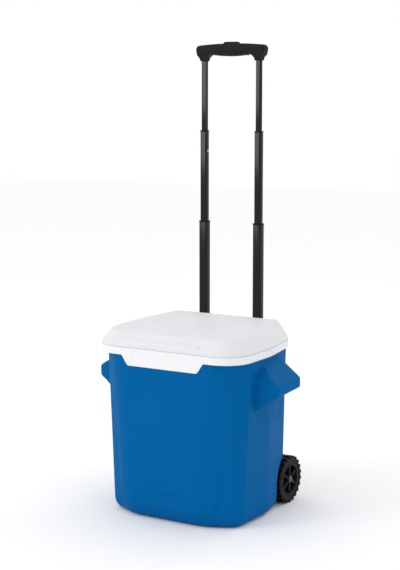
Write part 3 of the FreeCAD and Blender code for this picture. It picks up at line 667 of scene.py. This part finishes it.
def lid_rings():
    """From the parting line up over the bevel, then in over the plateau to its middle."""
    rings = [lid_ring(0.0, PARTING_Z + 0.6, 1.6), lid_ring(0.0, PARTING_Z + 0.6, 0.5),
             lid_ring(0.0, PARTING_Z + 1.3, 0.0)]
    low = PARTING_Z + 5.0
    rings.append(lid_ring(0.0, (PARTING_Z + 1.3 + low) / 2))
    for k in range(37):
        share = (k / 36) ** 1.15
        ring = lid_ring(share, low)
        facet = low + (LID_BACK_Z + 1.0 - low) * share + 2.2 * (1 - math.exp(-share * 14.0))
        ring[:, 2] = soft_least(np.full(len(ring), facet), lid_top_height(ring[:, 1]), 2.4)
        rings.append(ring)
    middle = np.array([0.0, -20.0])
    for k in range(1, 30):
        ring = lid_ring(1.0, low)
        ring[:, :2] = middle + (ring[:, :2] - middle) * (1 - k / 30)
        ring[:, 2] = soft_least(np.full(len(ring), LID_BACK_Z + 3.2), lid_top_height(ring[:, 1]), 2.4)
        rings.append(ring)
    return rings


PAD_SIDE = 86.0
PAD_TOP_Z = PARTING_Z + 19.5


def pad_reach(x, y, z):
    """How far forwards the pad over the pull tab stands at each place on the bevel."""
    edge = 1 - smooth_step(np.abs(x), PAD_SIDE - 3.0, PAD_SIDE + 3.0)
    top = 1 - smooth_step(z, PAD_TOP_Z - 4.0, PAD_TOP_Z + 1.0)
    face = LID_FRONT + 0.2 + np.maximum(z - PARTING_Z - 4.0, 0.0) * 0.10
    return np.maximum(y - face, 0.0) * edge * top


def add_pad(rings):
    for ring in rings:
        x, y, z = ring[:, 0], ring[:, 1], ring[:, 2]
        front = (y < LID_FRONT + 32.0) & (z > PARTING_Z + 2.0)
        ring[front, 1] -= pad_reach(x[front], y[front], z[front])
        over_pad = (np.abs(x) < PAD_SIDE + 1.0) * (y < LID_FRONT + 5.0)
        crease = np.exp(-((z - PARTING_Z - 3.6) / 1.1) ** 2) * over_pad
        ring[:, 1] += crease * 1.3
    return rings


# %% The lid's cover
cover = skin("lid_top", add_pad(lid_rings()), LID_GREY, sharp=50.0)
put(cover, "lid", "lid_cover")

# %% [markdown]
# ## The lid's white band and pull tab
# Under the grey top sits the white half of the lid. Its band stands 3 mm outside the tub, and at the
# front it drops into a tab that a hand pulls up. The band and the tab are one loop of rings: down the
# outside, round the lower edge, up the inside. Every ring's height follows one S-shaped lower line, so
# the tab grows out of the band.

# %% Band and tab
TAB_TOP_HALF = 97.0
TAB_LOW_HALF = 83.0
TAB_DROP = 21.5
BAND_WALL = 3.2


def band_low(x, y):
    """Height of the band's lower edge: it swings down to the tab at the front."""
    across = np.clip((TAB_TOP_HALF + 2.0 - np.abs(x)) / (TAB_TOP_HALF + 2.0 - TAB_LOW_HALF), -1.0, 4.0)
    slope = RIM_Z - TAB_DROP * across * 1.12
    low = soft_most(slope, np.full_like(slope, RIM_Z - TAB_DROP), 5.0)
    low = soft_least(low, np.full_like(slope, RIM_Z), 3.0)
    low = np.maximum(low, RIM_Z - TAB_DROP)
    return np.where(y < LID_FRONT + 20.0, low, RIM_Z)


def band_ring(offset, share, drop=0.0):
    """A ring of the band; share runs from its lower edge, 0, to the parting line, 1."""
    ring = at_height(sampled(inset(LID_PLAN, offset), band_counts, 12), 0.0)
    low = band_low(ring[:, 0], ring[:, 1]) + drop
    ring[:, 2] = low + (PARTING_Z - low) * share
    return ring


band_counts = straight_counts(LID_PLAN, 1.4)
outside = [band_ring(0.9, 0.0, 0.0), band_ring(0.25, 0.0, 0.5), band_ring(0.0, 0.0, 1.3)]
outside += [band_ring(0.0, k / 40, 1.3) for k in range(1, 40)]
outside += [band_ring(0.0, 0.985), band_ring(0.5, 1.0), band_ring(BAND_WALL + 3.0, 1.0)]
inside = [band_ring(BAND_WALL, 0.96 - 0.96 * k / 8) for k in range(9)]


def press_tab(rings):
    """The tab's face: a shallow panel with a soft ledge two thirds of the way down."""
    for ring in rings:
        x, y, z = ring[:, 0], ring[:, 1], ring[:, 2]
        face = (y < LID_FRONT + 0.6) & (z < PARTING_Z - 1.5)
        panel = rounded_box_distance(x, z, (0.0, 341.0), (TAB_LOW_HALF - 9.0, 18.0), 5.0)
        depth = 1.1 * (1 - smooth_step(panel, -3.0, 0.0)) * smooth_step(z, 334.5, 337.5)
        ring[face, 1] += depth[face]
    return rings


band = skin("lid_band", press_tab(outside) + inside, WHITE, sharp=40.0, loop=True)
under = skin("lid_underside", [
    lid_ring(0.0, RIM_Z + 0.2, 3.0), lid_ring(0.0, RIM_Z + 2.7, 3.0),
], WHITE, sharp=40.0)
for piece in (band, under):
    fix_normals(piece)
    soften(piece, 40.0)

# %% The plug that seats in the tub
PLUG_SIDE, PLUG_FRONT, PLUG_BACK = 128.0, -124.0, 72.0
PLUG_PLAN = symmetric([(PLUG_SIDE, PLUG_FRONT, 32.0), (PLUG_SIDE, PLUG_BACK, 24.0)])
plug_counts = straight_counts(PLUG_PLAN, 8.0)


def plug_ring(offset, z):
    return at_height(sampled(inset(PLUG_PLAN, offset), plug_counts, 8), z)


plug = skin("lid_plug", [
    plug_ring(0.0, RIM_Z + 0.5), plug_ring(0.0, RIM_Z - 10.5), plug_ring(0.5, RIM_Z - 11.6),
    plug_ring(1.3, RIM_Z - 12.0),
    plug_ring(2.1, RIM_Z - 11.6), plug_ring(2.5, RIM_Z - 10.5), plug_ring(3.5, RIM_Z - 1.0),
    plug_ring(9.0, RIM_Z + 0.1),
], WHITE, sharp=40.0, closed=False)
fix_normals(plug)


band = merge("lid_band_and_tab", [band, under, plug])
put(band, "lid", "lid_liner")

# %% [markdown]
# ## Wheels
# A wheel is a turned shape plus things that repeat round it. The turned part is one profile swept round
# the axle. The tread lugs and the spokes are single blocks, and a small Geometry Nodes tree sets copies
# of a block round the axle. The tread has two rows of lugs, half a pitch apart, as on a moulded all-
# terrain tyre.

# %% A profile turned round the X axis
def turned(name, profile, centre, material, sides=88, sharp=34.0):
    """Profile points are (x, radius), listed once round the section."""
    rings = []
    for k in range(sides):
        angle = 2 * math.pi * k / sides
        rings.append([(x, centre[1] + r * math.sin(angle), centre[2] + r * math.cos(angle)) for x,
                      r in profile])
    piece = skin(name, rings, material, sharp, loop=True)
    fix_normals(piece)
    soften(piece, sharp)
    return piece


def rectangle(x0, y0, x1, y1, radius):
    """Corners of a rectangle, all with one rounding."""
    return [(x0, y0, radius), (x1, y0, radius), (x1, y1, radius), (x0, y1, radius)]


def node_room(name, node, grow, radius, levels, material, steps):
    """A cutter that leaves room round a node: its plan, grown and rounded, between two heights."""
    low, high = node_box(node)
    plan = rectangle(low[0] - grow, low[1] - grow, high[0] + grow, high[1] + grow, radius)
    return skin(name, [at_height(sampled(plan, [1, 1, 1, 1], steps), z) for z in levels], material)


def block(name, low, high, edge, material, taper=0.0):
    """A block with rounded edges; its top may be narrower than its foot by a taper."""
    plan = rectangle(low[0], low[1], high[0], high[1], edge)
    levels = [(low[2], edge * 0.6), (low[2] + edge * 0.6, 0.0), (high[2] - edge, taper)]
    levels += [(high[2] - edge * 0.3, taper + edge * 0.3), (high[2], taper + edge)]
    return skin(name, [at_height(sampled(inset(plan, tuck), [1, 1, 1, 1], 3), z) for z, tuck in levels],
                material)


# %% Copies set round an axle by Geometry Nodes
def copies_tree(name, *sockets):
    """A tree that sets copies of an object on points; the caller adds the points and links them in."""
    tree = bpy.data.node_groups.new(name, "GeometryNodeTree")
    inputs = (("Geometry", "Geometry"), ("Item", "Object"), ("Count", "Int"), *sockets,
              ("Material", "Material"))
    for label, kind in inputs:
        tree.interface.new_socket(label, in_out="INPUT", socket_type="NodeSocket" + kind)
    tree.interface.new_socket("Geometry", in_out="OUTPUT", socket_type="NodeSocketGeometry")
    nodes, link = tree.nodes, tree.links.new
    given = nodes.new("NodeGroupInput")
    item = nodes.new("GeometryNodeObjectInfo")
    copies = nodes.new("GeometryNodeInstanceOnPoints")
    real = nodes.new("GeometryNodeRealizeInstances")
    finish = nodes.new("GeometryNodeSetMaterial")
    result = nodes.new("NodeGroupOutput")
    link(given.outputs["Item"], item.inputs["Object"])
    link(item.outputs["Geometry"], copies.inputs["Instance"])
    link(copies.outputs[0], real.inputs[0])
    link(real.outputs[0], finish.inputs["Geometry"])
    link(given.outputs["Material"], finish.inputs["Material"])
    link(finish.outputs[0], result.inputs[0])
    return tree, given, copies


def ring_tree():
    """Copies on points at the axle, each turned a step further round it."""
    tree, given, copies = copies_tree("copies_round_an_axle", ("Centre", "Vector"),
                                      ("First Angle", "Float"))
    nodes, link = tree.nodes, tree.links.new
    points = nodes.new("GeometryNodePoints")
    index = nodes.new("GeometryNodeInputIndex")
    step = nodes.new("ShaderNodeMath")
    step.operation = "DIVIDE"
    step.inputs[0].default_value = 2 * math.pi
    turn = nodes.new("ShaderNodeMath")
    turn.operation = "MULTIPLY_ADD"
    angle = nodes.new("ShaderNodeCombineXYZ")
    link(given.outputs["Count"], points.inputs["Count"])
    link(given.outputs["Centre"], points.inputs["Position"])
    link(given.outputs["Count"], step.inputs[1])
    link(index.outputs[0], turn.inputs[0])
    link(step.outputs[0], turn.inputs[1])
    link(given.outputs["First Angle"], turn.inputs[2])
    link(turn.outputs[0], angle.inputs["X"])
    link(points.outputs[0], copies.inputs["Points"])
    link(angle.outputs[0], copies.inputs["Rotation"])
    return tree


def with_nodes(name, tree, **values):
    """A mesh made by a node tree, with its named inputs set by their identifiers before it is evaluated."""
    piece = bpy.data.objects.new(name, bpy.data.meshes.new(name))
    bpy.context.scene.collection.objects.link(piece)
    nodes = piece.modifiers.new("made", "NODES")
    nodes.node_group = tree
    for socket in tree.interface.items_tree:
        if socket.in_out == "INPUT" and socket.name.replace(" ", "_") in values:
            nodes[socket.identifier] = values[socket.name.replace(" ", "_")]
    bake(piece)
    return piece


RING = ring_tree()


def round_axle(name, item, count, centre, material, first=0.0):
    placed = [v * MM for v in centre]
    made = with_nodes(name, RING, Item=item, Count=count, Centre=placed, First_Angle=first,
                      Material=material)
    bpy.data.objects.remove(item)
    return made


# %% The wheels
LUGS = 22
SPOKES = 6
TREAD_R = WHEEL_R - 3.5
HUB_R = 9.5
BORE_R = 4.05
DISH_R = WHEEL_R - 21.5


def wheel_piece(side_name, side):
    low, high = node_box(side_name + "_wheel")
    outer = high[0] if side > 0 else low[0]
    width = high[0] - low[0]
    centre = (0.0, WHEEL_Y, WHEEL_R)
    section = [
        (3.0, BORE_R), (3.0, HUB_R - 1.0), (3.8, HUB_R), (12.4, HUB_R + 0.4), (13.0, HUB_R + 2.5),
        (13.0, DISH_R - 4.0), (12.0, DISH_R - 2.0), (3.0, DISH_R - 0.6), (1.2, DISH_R + 0.4),
        (0.8, DISH_R + 2.0),
        (1.8, DISH_R + 4.0), (1.8, TREAD_R - 7.0), (0.6, TREAD_R - 5.0), (0.6, TREAD_R - 2.5),
        (2.4, TREAD_R - 0.3),
        (4.0, TREAD_R), (width / 2 - 1.5, TREAD_R), (width / 2 - 0.8, TREAD_R - 1.4),
        (width / 2 + 0.8, TREAD_R - 1.4),
        (width / 2 + 1.5, TREAD_R), (width - 3.0, TREAD_R), (width - 1.0, TREAD_R - 1.5),
        (width, TREAD_R - 4.0),
        (width, TREAD_R - 6.0), (width - 1.5, TREAD_R - 7.0), (17.6, TREAD_R - 8.0), (17.0, TREAD_R - 10.0),
        (17.0, HUB_R + 2.0), (18.0, HUB_R), (width - 0.6, HUB_R), (width, HUB_R - 0.6), (width, BORE_R),
    ]
    tyre = turned(side_name + "_tyre", [(outer - side * x, r) for x, r in section], centre, WHEEL)
    parts = [tyre]
    pitch = 2 * math.pi / LUGS
    lug_half = 0.27 * TREAD_R * pitch
    for row, first in ((0.8, 0.0), (width / 2 + 0.9, pitch / 2)):
        ends = sorted((outer - side * row, outer - side * (row + width / 2 - 1.7)))
        lug = block("lug", (ends[0], -lug_half, TREAD_R - 2.0), (ends[1], lug_half, WHEEL_R - 0.15), 0.9,
                    WHEEL, 0.5)
        parts.append(round_axle(side_name + "_lugs", lug, LUGS, centre, WHEEL, first))
    for x_from, x_to, half, reach, first in ((2.6, 14.0, 3.1, DISH_R + 1.0, 0.0),
                                             (16.0, width - 5.0, 1.5, TREAD_R - 6.0, 0.5)):
        ends = sorted((outer - side * x_from, outer - side * x_to))
        spoke = block("spoke", (ends[0], -half, HUB_R - 2.0), (ends[1], half, reach), 0.9, WHEEL)
        parts.append(round_axle(side_name + "_spokes", spoke, SPOKES, centre, WHEEL,
                                first * 2 * math.pi / SPOKES))
    wheel = merge(side_name + "_wheel_moulding", parts)
    put(wheel, side_name + "_wheel_body", side_name + "_wheel")
    cap_low, cap_high = node_box(side_name + "_hub_cap")
    start = cap_low[0] if side > 0 else cap_high[0]
    cap_section = [(0.0, 4.02), (0.0, 6.7), (0.4, 7.0), (0.9, 7.0), (1.2, 6.6), (1.3, 5.9), (2.6, 5.4),
                   (3.6, 4.6),
                   (4.2, 3.2), (4.45, 1.6), (4.5, 0.02), (3.0, 0.02), (3.0, 4.02)]
    cap = turned(side_name + "_cap_nut", [(start + side * x, r) for x, r in cap_section], centre, CAP, 48)
    put(cap, "tub", side_name + "_hub_cap")


for side_name, side in SIDES:
    wheel_piece(side_name, side)

# %% [markdown]
# ## Pull tubes
# Each tube is drawn aluminium: a rounded rectangle with an even wall, so its outline is skinned upwards
# on the outside and back down on the inside. The smallest tube has a flute down its inboard face, where
# the snap button runs. A small rolled edge at the top catches the light as the real tubes do.

# %% Tubes
TUBE_WALL = 1.0
FLUTE_HALF = 3.5
FLUTE_DEPTH = 1.1


def tube_piece(side_name, side, stage, radius, body, fluted=False):
    node = side_name + "_" + stage + "_tube"
    low, high = node_box(node)
    x0, x1, y0, y1 = low[0], high[0], low[1], high[1]
    middle = (y0 + y1) / 2
    plan = rectangle(x0, y0, x1, y1, radius)
    if fluted:
        lip, floor_x = (x0, x0 + FLUTE_DEPTH) if side > 0 else (x1, x1 - FLUTE_DEPTH)
        shoulder = lip + side * 0.3
        near, far = middle - FLUTE_HALF, middle + FLUTE_HALF
        flute = [(shoulder, y1, 0.9), (lip, far, 0.1), (floor_x, far, 0.3), (floor_x, near, 0.3),
                 (lip, near, 0.1),
                 (shoulder, y0, 0.9)]
        plan = plan[1:3] + flute if side > 0 else [plan[0]] + flute[::-1] + [plan[3]]
    counts = [2] * len(plan)
    levels = [(low[2], 0.0), (high[2] - 0.6, 0.0), (high[2] - 0.2, 0.15), (high[2], 0.4),
              (high[2], TUBE_WALL - 0.2),
              (high[2] - 0.4, TUBE_WALL), (low[2], TUBE_WALL)]
    rings = [at_height(sampled(inset(plan, tuck), counts, 6), z) for z, tuck in levels]
    tube = skin(node.replace("_tube", "_drawn_tube"), rings, TUBE, sharp=40.0, loop=True)
    fix_normals(tube)
    soften(tube, 40.0)
    put(tube, body, node)


for side_name, side in SIDES:
    tube_piece(side_name, side, "outer", 4.2, "handle_outer")
    tube_piece(side_name, side, "mid", 3.2, "handle_mid")
    tube_piece(side_name, side, "inner", 2.2, "handle_inner", fluted=True)

# %% [markdown]
# ## The grip
# The grip is two moulded halves screwed together behind. Each half is a loft along X: at every station
# its section is a rounded rectangle whose top follows the arch and whose underside follows the belly,
# drops to the sockets round the tubes and rises again at the ends. The seam between the halves is real:
# each half has a rounded edge there.

# %% Grip halves
grip_low, grip_high = node_box("handle_front")
TUBE_Y = grip_high[1]
GRIP_HALF = grip_high[0]
GRIP_TOP = grip_high[2]
SOCKET_LOW = grip_low[2]
tube_low, tube_high = node_box("right_outer_tube")
TUBE_X = (tube_low[0] + tube_high[0]) / 2
SOCKET_HALF = 13.5


def grip_station(x):
    """Top, bottom and how much the section draws in, at a distance from the middle."""
    x = abs(x)
    top = GRIP_TOP - 4.2 * (x / GRIP_HALF) ** 2
    bottom = SOCKET_LOW + 10.0 + 5.0 * min(x / (TUBE_X - SOCKET_HALF), 1.0) ** 2
    fillet = max(0.0, min(1.0, (x - (TUBE_X - SOCKET_HALF - 8.0)) / 8.0))
    bottom -= (bottom - SOCKET_LOW) * (1 - math.sqrt(max(1 - fillet ** 3, 0.0)))
    past = x - (TUBE_X + SOCKET_HALF - 1.0)
    if past > 0:
        bottom = SOCKET_LOW + 15.5 * min(past / 1.6, 1.0) ** 0.6
    tuck = 0.0
    end = GRIP_HALF - 7.0
    if x > end:
        share = (x - end) / 7.0
        tuck = 7.0 * (1 - math.sqrt(max(1 - share * share, 0.0)))
    return top - tuck * 0.9, bottom + tuck * 0.5, tuck


def socket_taper(x, flat, sign):
    """Draws the grip in round each tube, so the sockets are narrow at the bottom."""
    side = 1.0 if x > 0 else -1.0
    low = 1 - smooth_step(flat[:, 1], SOCKET_LOW + 6.5, SOCKET_LOW + 14.0)
    from_tube = x - side * TUBE_X
    near = 1.0 if abs(from_tube) < SOCKET_HALF + 0.1 else max(0.0, 1 - (abs(from_tube) - SOCKET_HALF) / 9.0)
    across = x - from_tube * 0.36 * low * near
    return np.column_stack([across, TUBE_Y + sign * flat[:, 0] * (1 - 0.36 * low * near), flat[:, 1]])


def grip_half(name, sign, node):
    stations = sorted(set(
        [round(GRIP_HALF * k / 60, 3) for k in range(-60, 61)]
        + [side * (TUBE_X + SOCKET_HALF - 1.0 + step) for side in (-1, 1) for step in (0.0, 0.2, 0.5, 0.9,
                                                                                       1.3, 1.7)]
        + [side * (TUBE_X - SOCKET_HALF - 8.0 + step) for side in (-1, 1) for step in (5.5, 6.4, 7.0, 7.4,
                                                                                       7.7, 7.9, 8.0)]
        + [side * (GRIP_HALF - step) for side in (-1, 1) for step in (0.03, 0.2, 0.6, 1.2, 2.2, 3.6, 5.2)]))
    rings = []
    for x in stations:
        top, bottom, tuck = grip_station(x)
        depth = 13.0 - tuck
        corner = max(min(8.0, (top - bottom) / 2 - 0.6, depth - 0.6), 0.5)
        near = 0.12
        section = [(near, bottom, 0.5), (depth, bottom, corner), (depth, top, corner), (near, top, 0.5)]
        flat = sampled(section, [6, 4, 6, 6], 7)
        rings.append(socket_taper(x, flat, sign))
    half = skin(name, rings, GRIP, sharp=44.0)
    fix_normals(half)
    button_low = node_box("release_button")[0]
    button_levels = (button_low[2] - 4.0, GRIP_TOP + 6.0)
    carve(half, node_room("button_room", "release_button", 0.35, 4.3, button_levels, GRIP, 8), sharp=44.0)
    for side_name, _ in SIDES:
        tube_node = side_name + "_inner_tube"
        tube_levels = (SOCKET_LOW - 4.0, node_box(tube_node)[1][2] + 0.1)
        carve(half, node_room("socket_room", tube_node, 0.1, 2.2, tube_levels, GRIP, 5), sharp=44.0)
    put(half, "handle_inner", node)


grip_half("grip_front_half", -1, "handle_front")
grip_half("grip_rear_half", 1, "handle_rear")

# %% The release button
button_low, button_high = node_box("release_button")


def button_ring(z, tuck_x, tuck_y):
    wide, deep = (button_high[0] - button_low[0]) / 2 - tuck_x, (button_high[1] - button_low[1]) / 2 - tuck_y
    ring = at_height(sampled(rectangle(-wide, -deep, wide, deep, 3.6), [14, 3, 14, 3], 7), z)
    ring[:, 1] += TUBE_Y
    return ring


crown = button_high[2]
button = skin("release_button_cap", [
    button_ring(button_low[2], 0.3, 0.3), button_ring(button_low[2] + 0.6, 0.0, 0.0),
    button_ring(GRIP_TOP - 0.4, 0.0, 0.0),
    button_ring(GRIP_TOP + 0.4, 0.4, 0.1), button_ring(crown - 1.3, 1.6, 0.4),
    button_ring(crown - 0.6, 2.3, 0.9),
    button_ring(crown - 0.15, 3.2, 1.7), button_ring(crown, 4.6, 2.6),
], DARK, sharp=50.0)
put(button, "button", "release_button")

# %% [markdown]
# ## The housing behind the tub
# One black moulding covers the tubes' channels and carries the axle. Its outline is skinned like the
# tub's, with a rounded top edge, and the channels are cut down into it. Upright ribs between the channels
# stiffen it; they are one bar, copied along a line by Geometry Nodes.

# %% Copies along a line by Geometry Nodes
def row_tree():
    """Copies on the points of a straight line."""
    tree, given, copies = copies_tree("copies_along_a_line", ("Start", "Vector"), ("Step", "Vector"))
    line = tree.nodes.new("GeometryNodeMeshLine")
    for source, target in (("Count", "Count"), ("Start", "Start Location"), ("Step", "Offset")):
        tree.links.new(given.outputs[source], line.inputs[target])
    tree.links.new(line.outputs[0], copies.inputs["Points"])
    return tree


ROW = row_tree()


def in_a_row(name, item, count, start, step, material, keep=False):
    made = with_nodes(name, ROW, Item=item, Count=count, Start=[v * MM for v in start],
                      Step=[v * MM for v in step],
                      Material=material)
    if not keep:
        bpy.data.objects.remove(item)
    return made


# %% The housing
house_low, house_high = node_box("handle_housing")
guide_low, guide_high = node_box("right_tube_guide")
HOUSE_HALF = guide_high[0] + 17.25
HOUSE_TOP = house_high[2]
HOUSE_BACK = house_high[1]
house_plan = [(-HOUSE_HALF, REAR_Y, 0.5), (HOUSE_HALF, REAR_Y, 0.5), (HOUSE_HALF, HOUSE_BACK, 9.0),
              (-HOUSE_HALF, HOUSE_BACK, 9.0)]


def house_ring(z, tuck):
    ring = at_height(sampled(inset(house_plan, tuck), [30, 6, 30, 6], 8), z)
    ring[:, 1] = np.maximum(ring[:, 1], REAR_Y + 0.2)
    return ring


housing = skin("housing_shell", [
    house_ring(house_low[2], 3.0), house_ring(house_low[2] + 0.9, 1.0), house_ring(house_low[2] + 3.0, 0.0),
    house_ring(HOUSE_TOP - 3.0, 0.0), house_ring(HOUSE_TOP - 0.9, 1.0), house_ring(HOUSE_TOP, 3.0),
], HOUSING)
fix_normals(housing)


def panel_cutter():
    """A shallow panel in the back, between the channels."""
    half = guide_low[0] - 9.0
    corners = rectangle(-half, 92.0, half, HOUSE_TOP - 22.0, 10.0)
    rings = []
    for y, grow in ((HOUSE_BACK - 2.5, 0.0), (HOUSE_BACK - 2.0, 0.0), (HOUSE_BACK + 1.0, -1.6)):
        flat = sampled(inset(corners, grow), [6, 10, 6, 10], 6)
        rings.append(np.column_stack([flat[:, 0], np.full(len(flat), y), flat[:, 1]]))
    cutter = skin("panel", rings, HOUSING)
    fix_normals(cutter)
    return cutter


CHANNEL_LEVELS = (64.0, HOUSE_TOP + 5.0)
for side_name, _ in SIDES:
    carve(housing, node_room("channel", side_name + "_tube_guide", 0.1, 4.0, CHANNEL_LEVELS, HOUSING, 6))
carve(housing, panel_cutter())
rib_half = 2.0
rib_gap = (guide_low[0] - 9.0) / 2.5
rib = block("rib", (-rib_half, HOUSE_BACK - 4.0, 98.0), (rib_half, HOUSE_BACK - 0.7, HOUSE_TOP - 28.0), 0.8,
            HOUSING)
ribs = in_a_row("ribs", rib, 4, (-1.5 * rib_gap, 0, 0), (rib_gap, 0, 0), HOUSING)
boss_r = 10.95
boss_end = house_high[0]
bosses = [turned("boss", [(side * (HOUSE_HALF - 3.0), BORE_R - 0.05), (side * (HOUSE_HALF - 3.0), boss_r),
                          (side * (boss_end - 1.0), boss_r), (side * boss_end, boss_r - 1.0),
                          (side * boss_end, BORE_R - 0.05)], (0, WHEEL_Y, WHEEL_R), HOUSING,
                          56) for side in (-1, 1)]
housing = merge("back_housing", [housing, ribs] + bosses, 34.0)
put(housing, "tub", "handle_housing")

# %% [markdown]
# ## Screws
# One pan head with a cross recess is modelled, and a Geometry Nodes row sets its copies in the housing
# and the grip.

# %% Screws
def screw_head():
    """A domed head facing backwards, made about the origin."""
    profile = [(0.0, 2.0), (0.0, 3.6), (0.3, 3.8), (1.0, 3.75), (1.8, 3.2), (2.3, 2.0), (2.4, 0.02),
               (-8.0, 0.02), (-8.0, 2.0)]
    head = turned("screw", profile, (0, 0, 0), STEEL, 28)
    for wide, high in ((2.2, 0.5), (0.5, 2.2)):
        carve(head, block("slot", (1.3, -wide, -high), (4.0, wide, high), 0.2, STEEL))
    vertices = np.array([v.co for v in head.data.vertices])
    for vertex, (x, y, z) in zip(head.data.vertices, vertices):
        vertex.co = (-y, x, z)
    fix_normals(head)
    soften(head, 34.0)
    return head


screw_low, screw_high = node_box("housing_screws")
grip_screw_low, grip_screw_high = node_box("handle_screws")
screw = screw_head()
SCREW_HEAD_R = 3.8
SCREW_X = screw_high[0] - SCREW_HEAD_R
first_z, last_z = screw_low[2] + SCREW_HEAD_R, screw_high[2] - SCREW_HEAD_R
sunk = HOUSE_BACK - 2.2
columns = [in_a_row("screw_column", screw, 3, (side * SCREW_X, sunk, first_z),
                    (0, 0, (last_z - first_z) / 2), STEEL, True)
           for side in (-1, 1)]
put(merge("housing_screw_set", columns), "tub", "housing_screws")
GRIP_SCREW_X = grip_screw_high[0] - SCREW_HEAD_R
grip_screws = in_a_row("grip_screw_set", screw, 2,
                       (-GRIP_SCREW_X, TUBE_Y + 10.8, (grip_screw_low[2] + grip_screw_high[2]) / 2),
                       (2 * GRIP_SCREW_X, 0, 0), STEEL)
soften(grip_screws, 34.0)
put(grip_screws, "handle_inner", "handle_screws")

# %% [markdown]
# ## Inner pieces
# The liner, bushes, guides and rods already have the right shape in CAD. Their meshes are facets, so each
# gets a copy with its corners merged and its curved faces shaded smooth, and that copy stands for the
# node.

# %% Smoothed copies
def refined(node, sharp=30.0):
    source = frame["nodes"][node]
    piece = bpy.data.objects.new(node + "_smooth", source.data.copy())
    bpy.context.scene.collection.objects.link(piece)
    work = bmesh.new()
    work.from_mesh(piece.data)
    bmesh.ops.remove_doubles(work, verts=work.verts, dist=2e-6)
    work.to_mesh(piece.data)
    work.free()
    soften(piece, sharp)
    put(piece, body_of[node], node)


body_of = {node: body for body, nodes in frame["record"]["behaviour"]["bodies"].items() for node in nodes}
SMOOTHED = ["inner_liner", "axle_rod", "axle_washers", "button_spring", "push_rods"]
for side_name, side in SIDES:
    SMOOTHED += [side_name + "_" + kind for kind in ("tube_guide", "outer_bush", "mid_bush", "outer_stop",
                                                     "snap_button",
                                                     "mid_slider", "inner_slider")]
for node_name in SMOOTHED:
    refined(node_name)
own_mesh(bpy.data.objects["button_spring_smooth"])
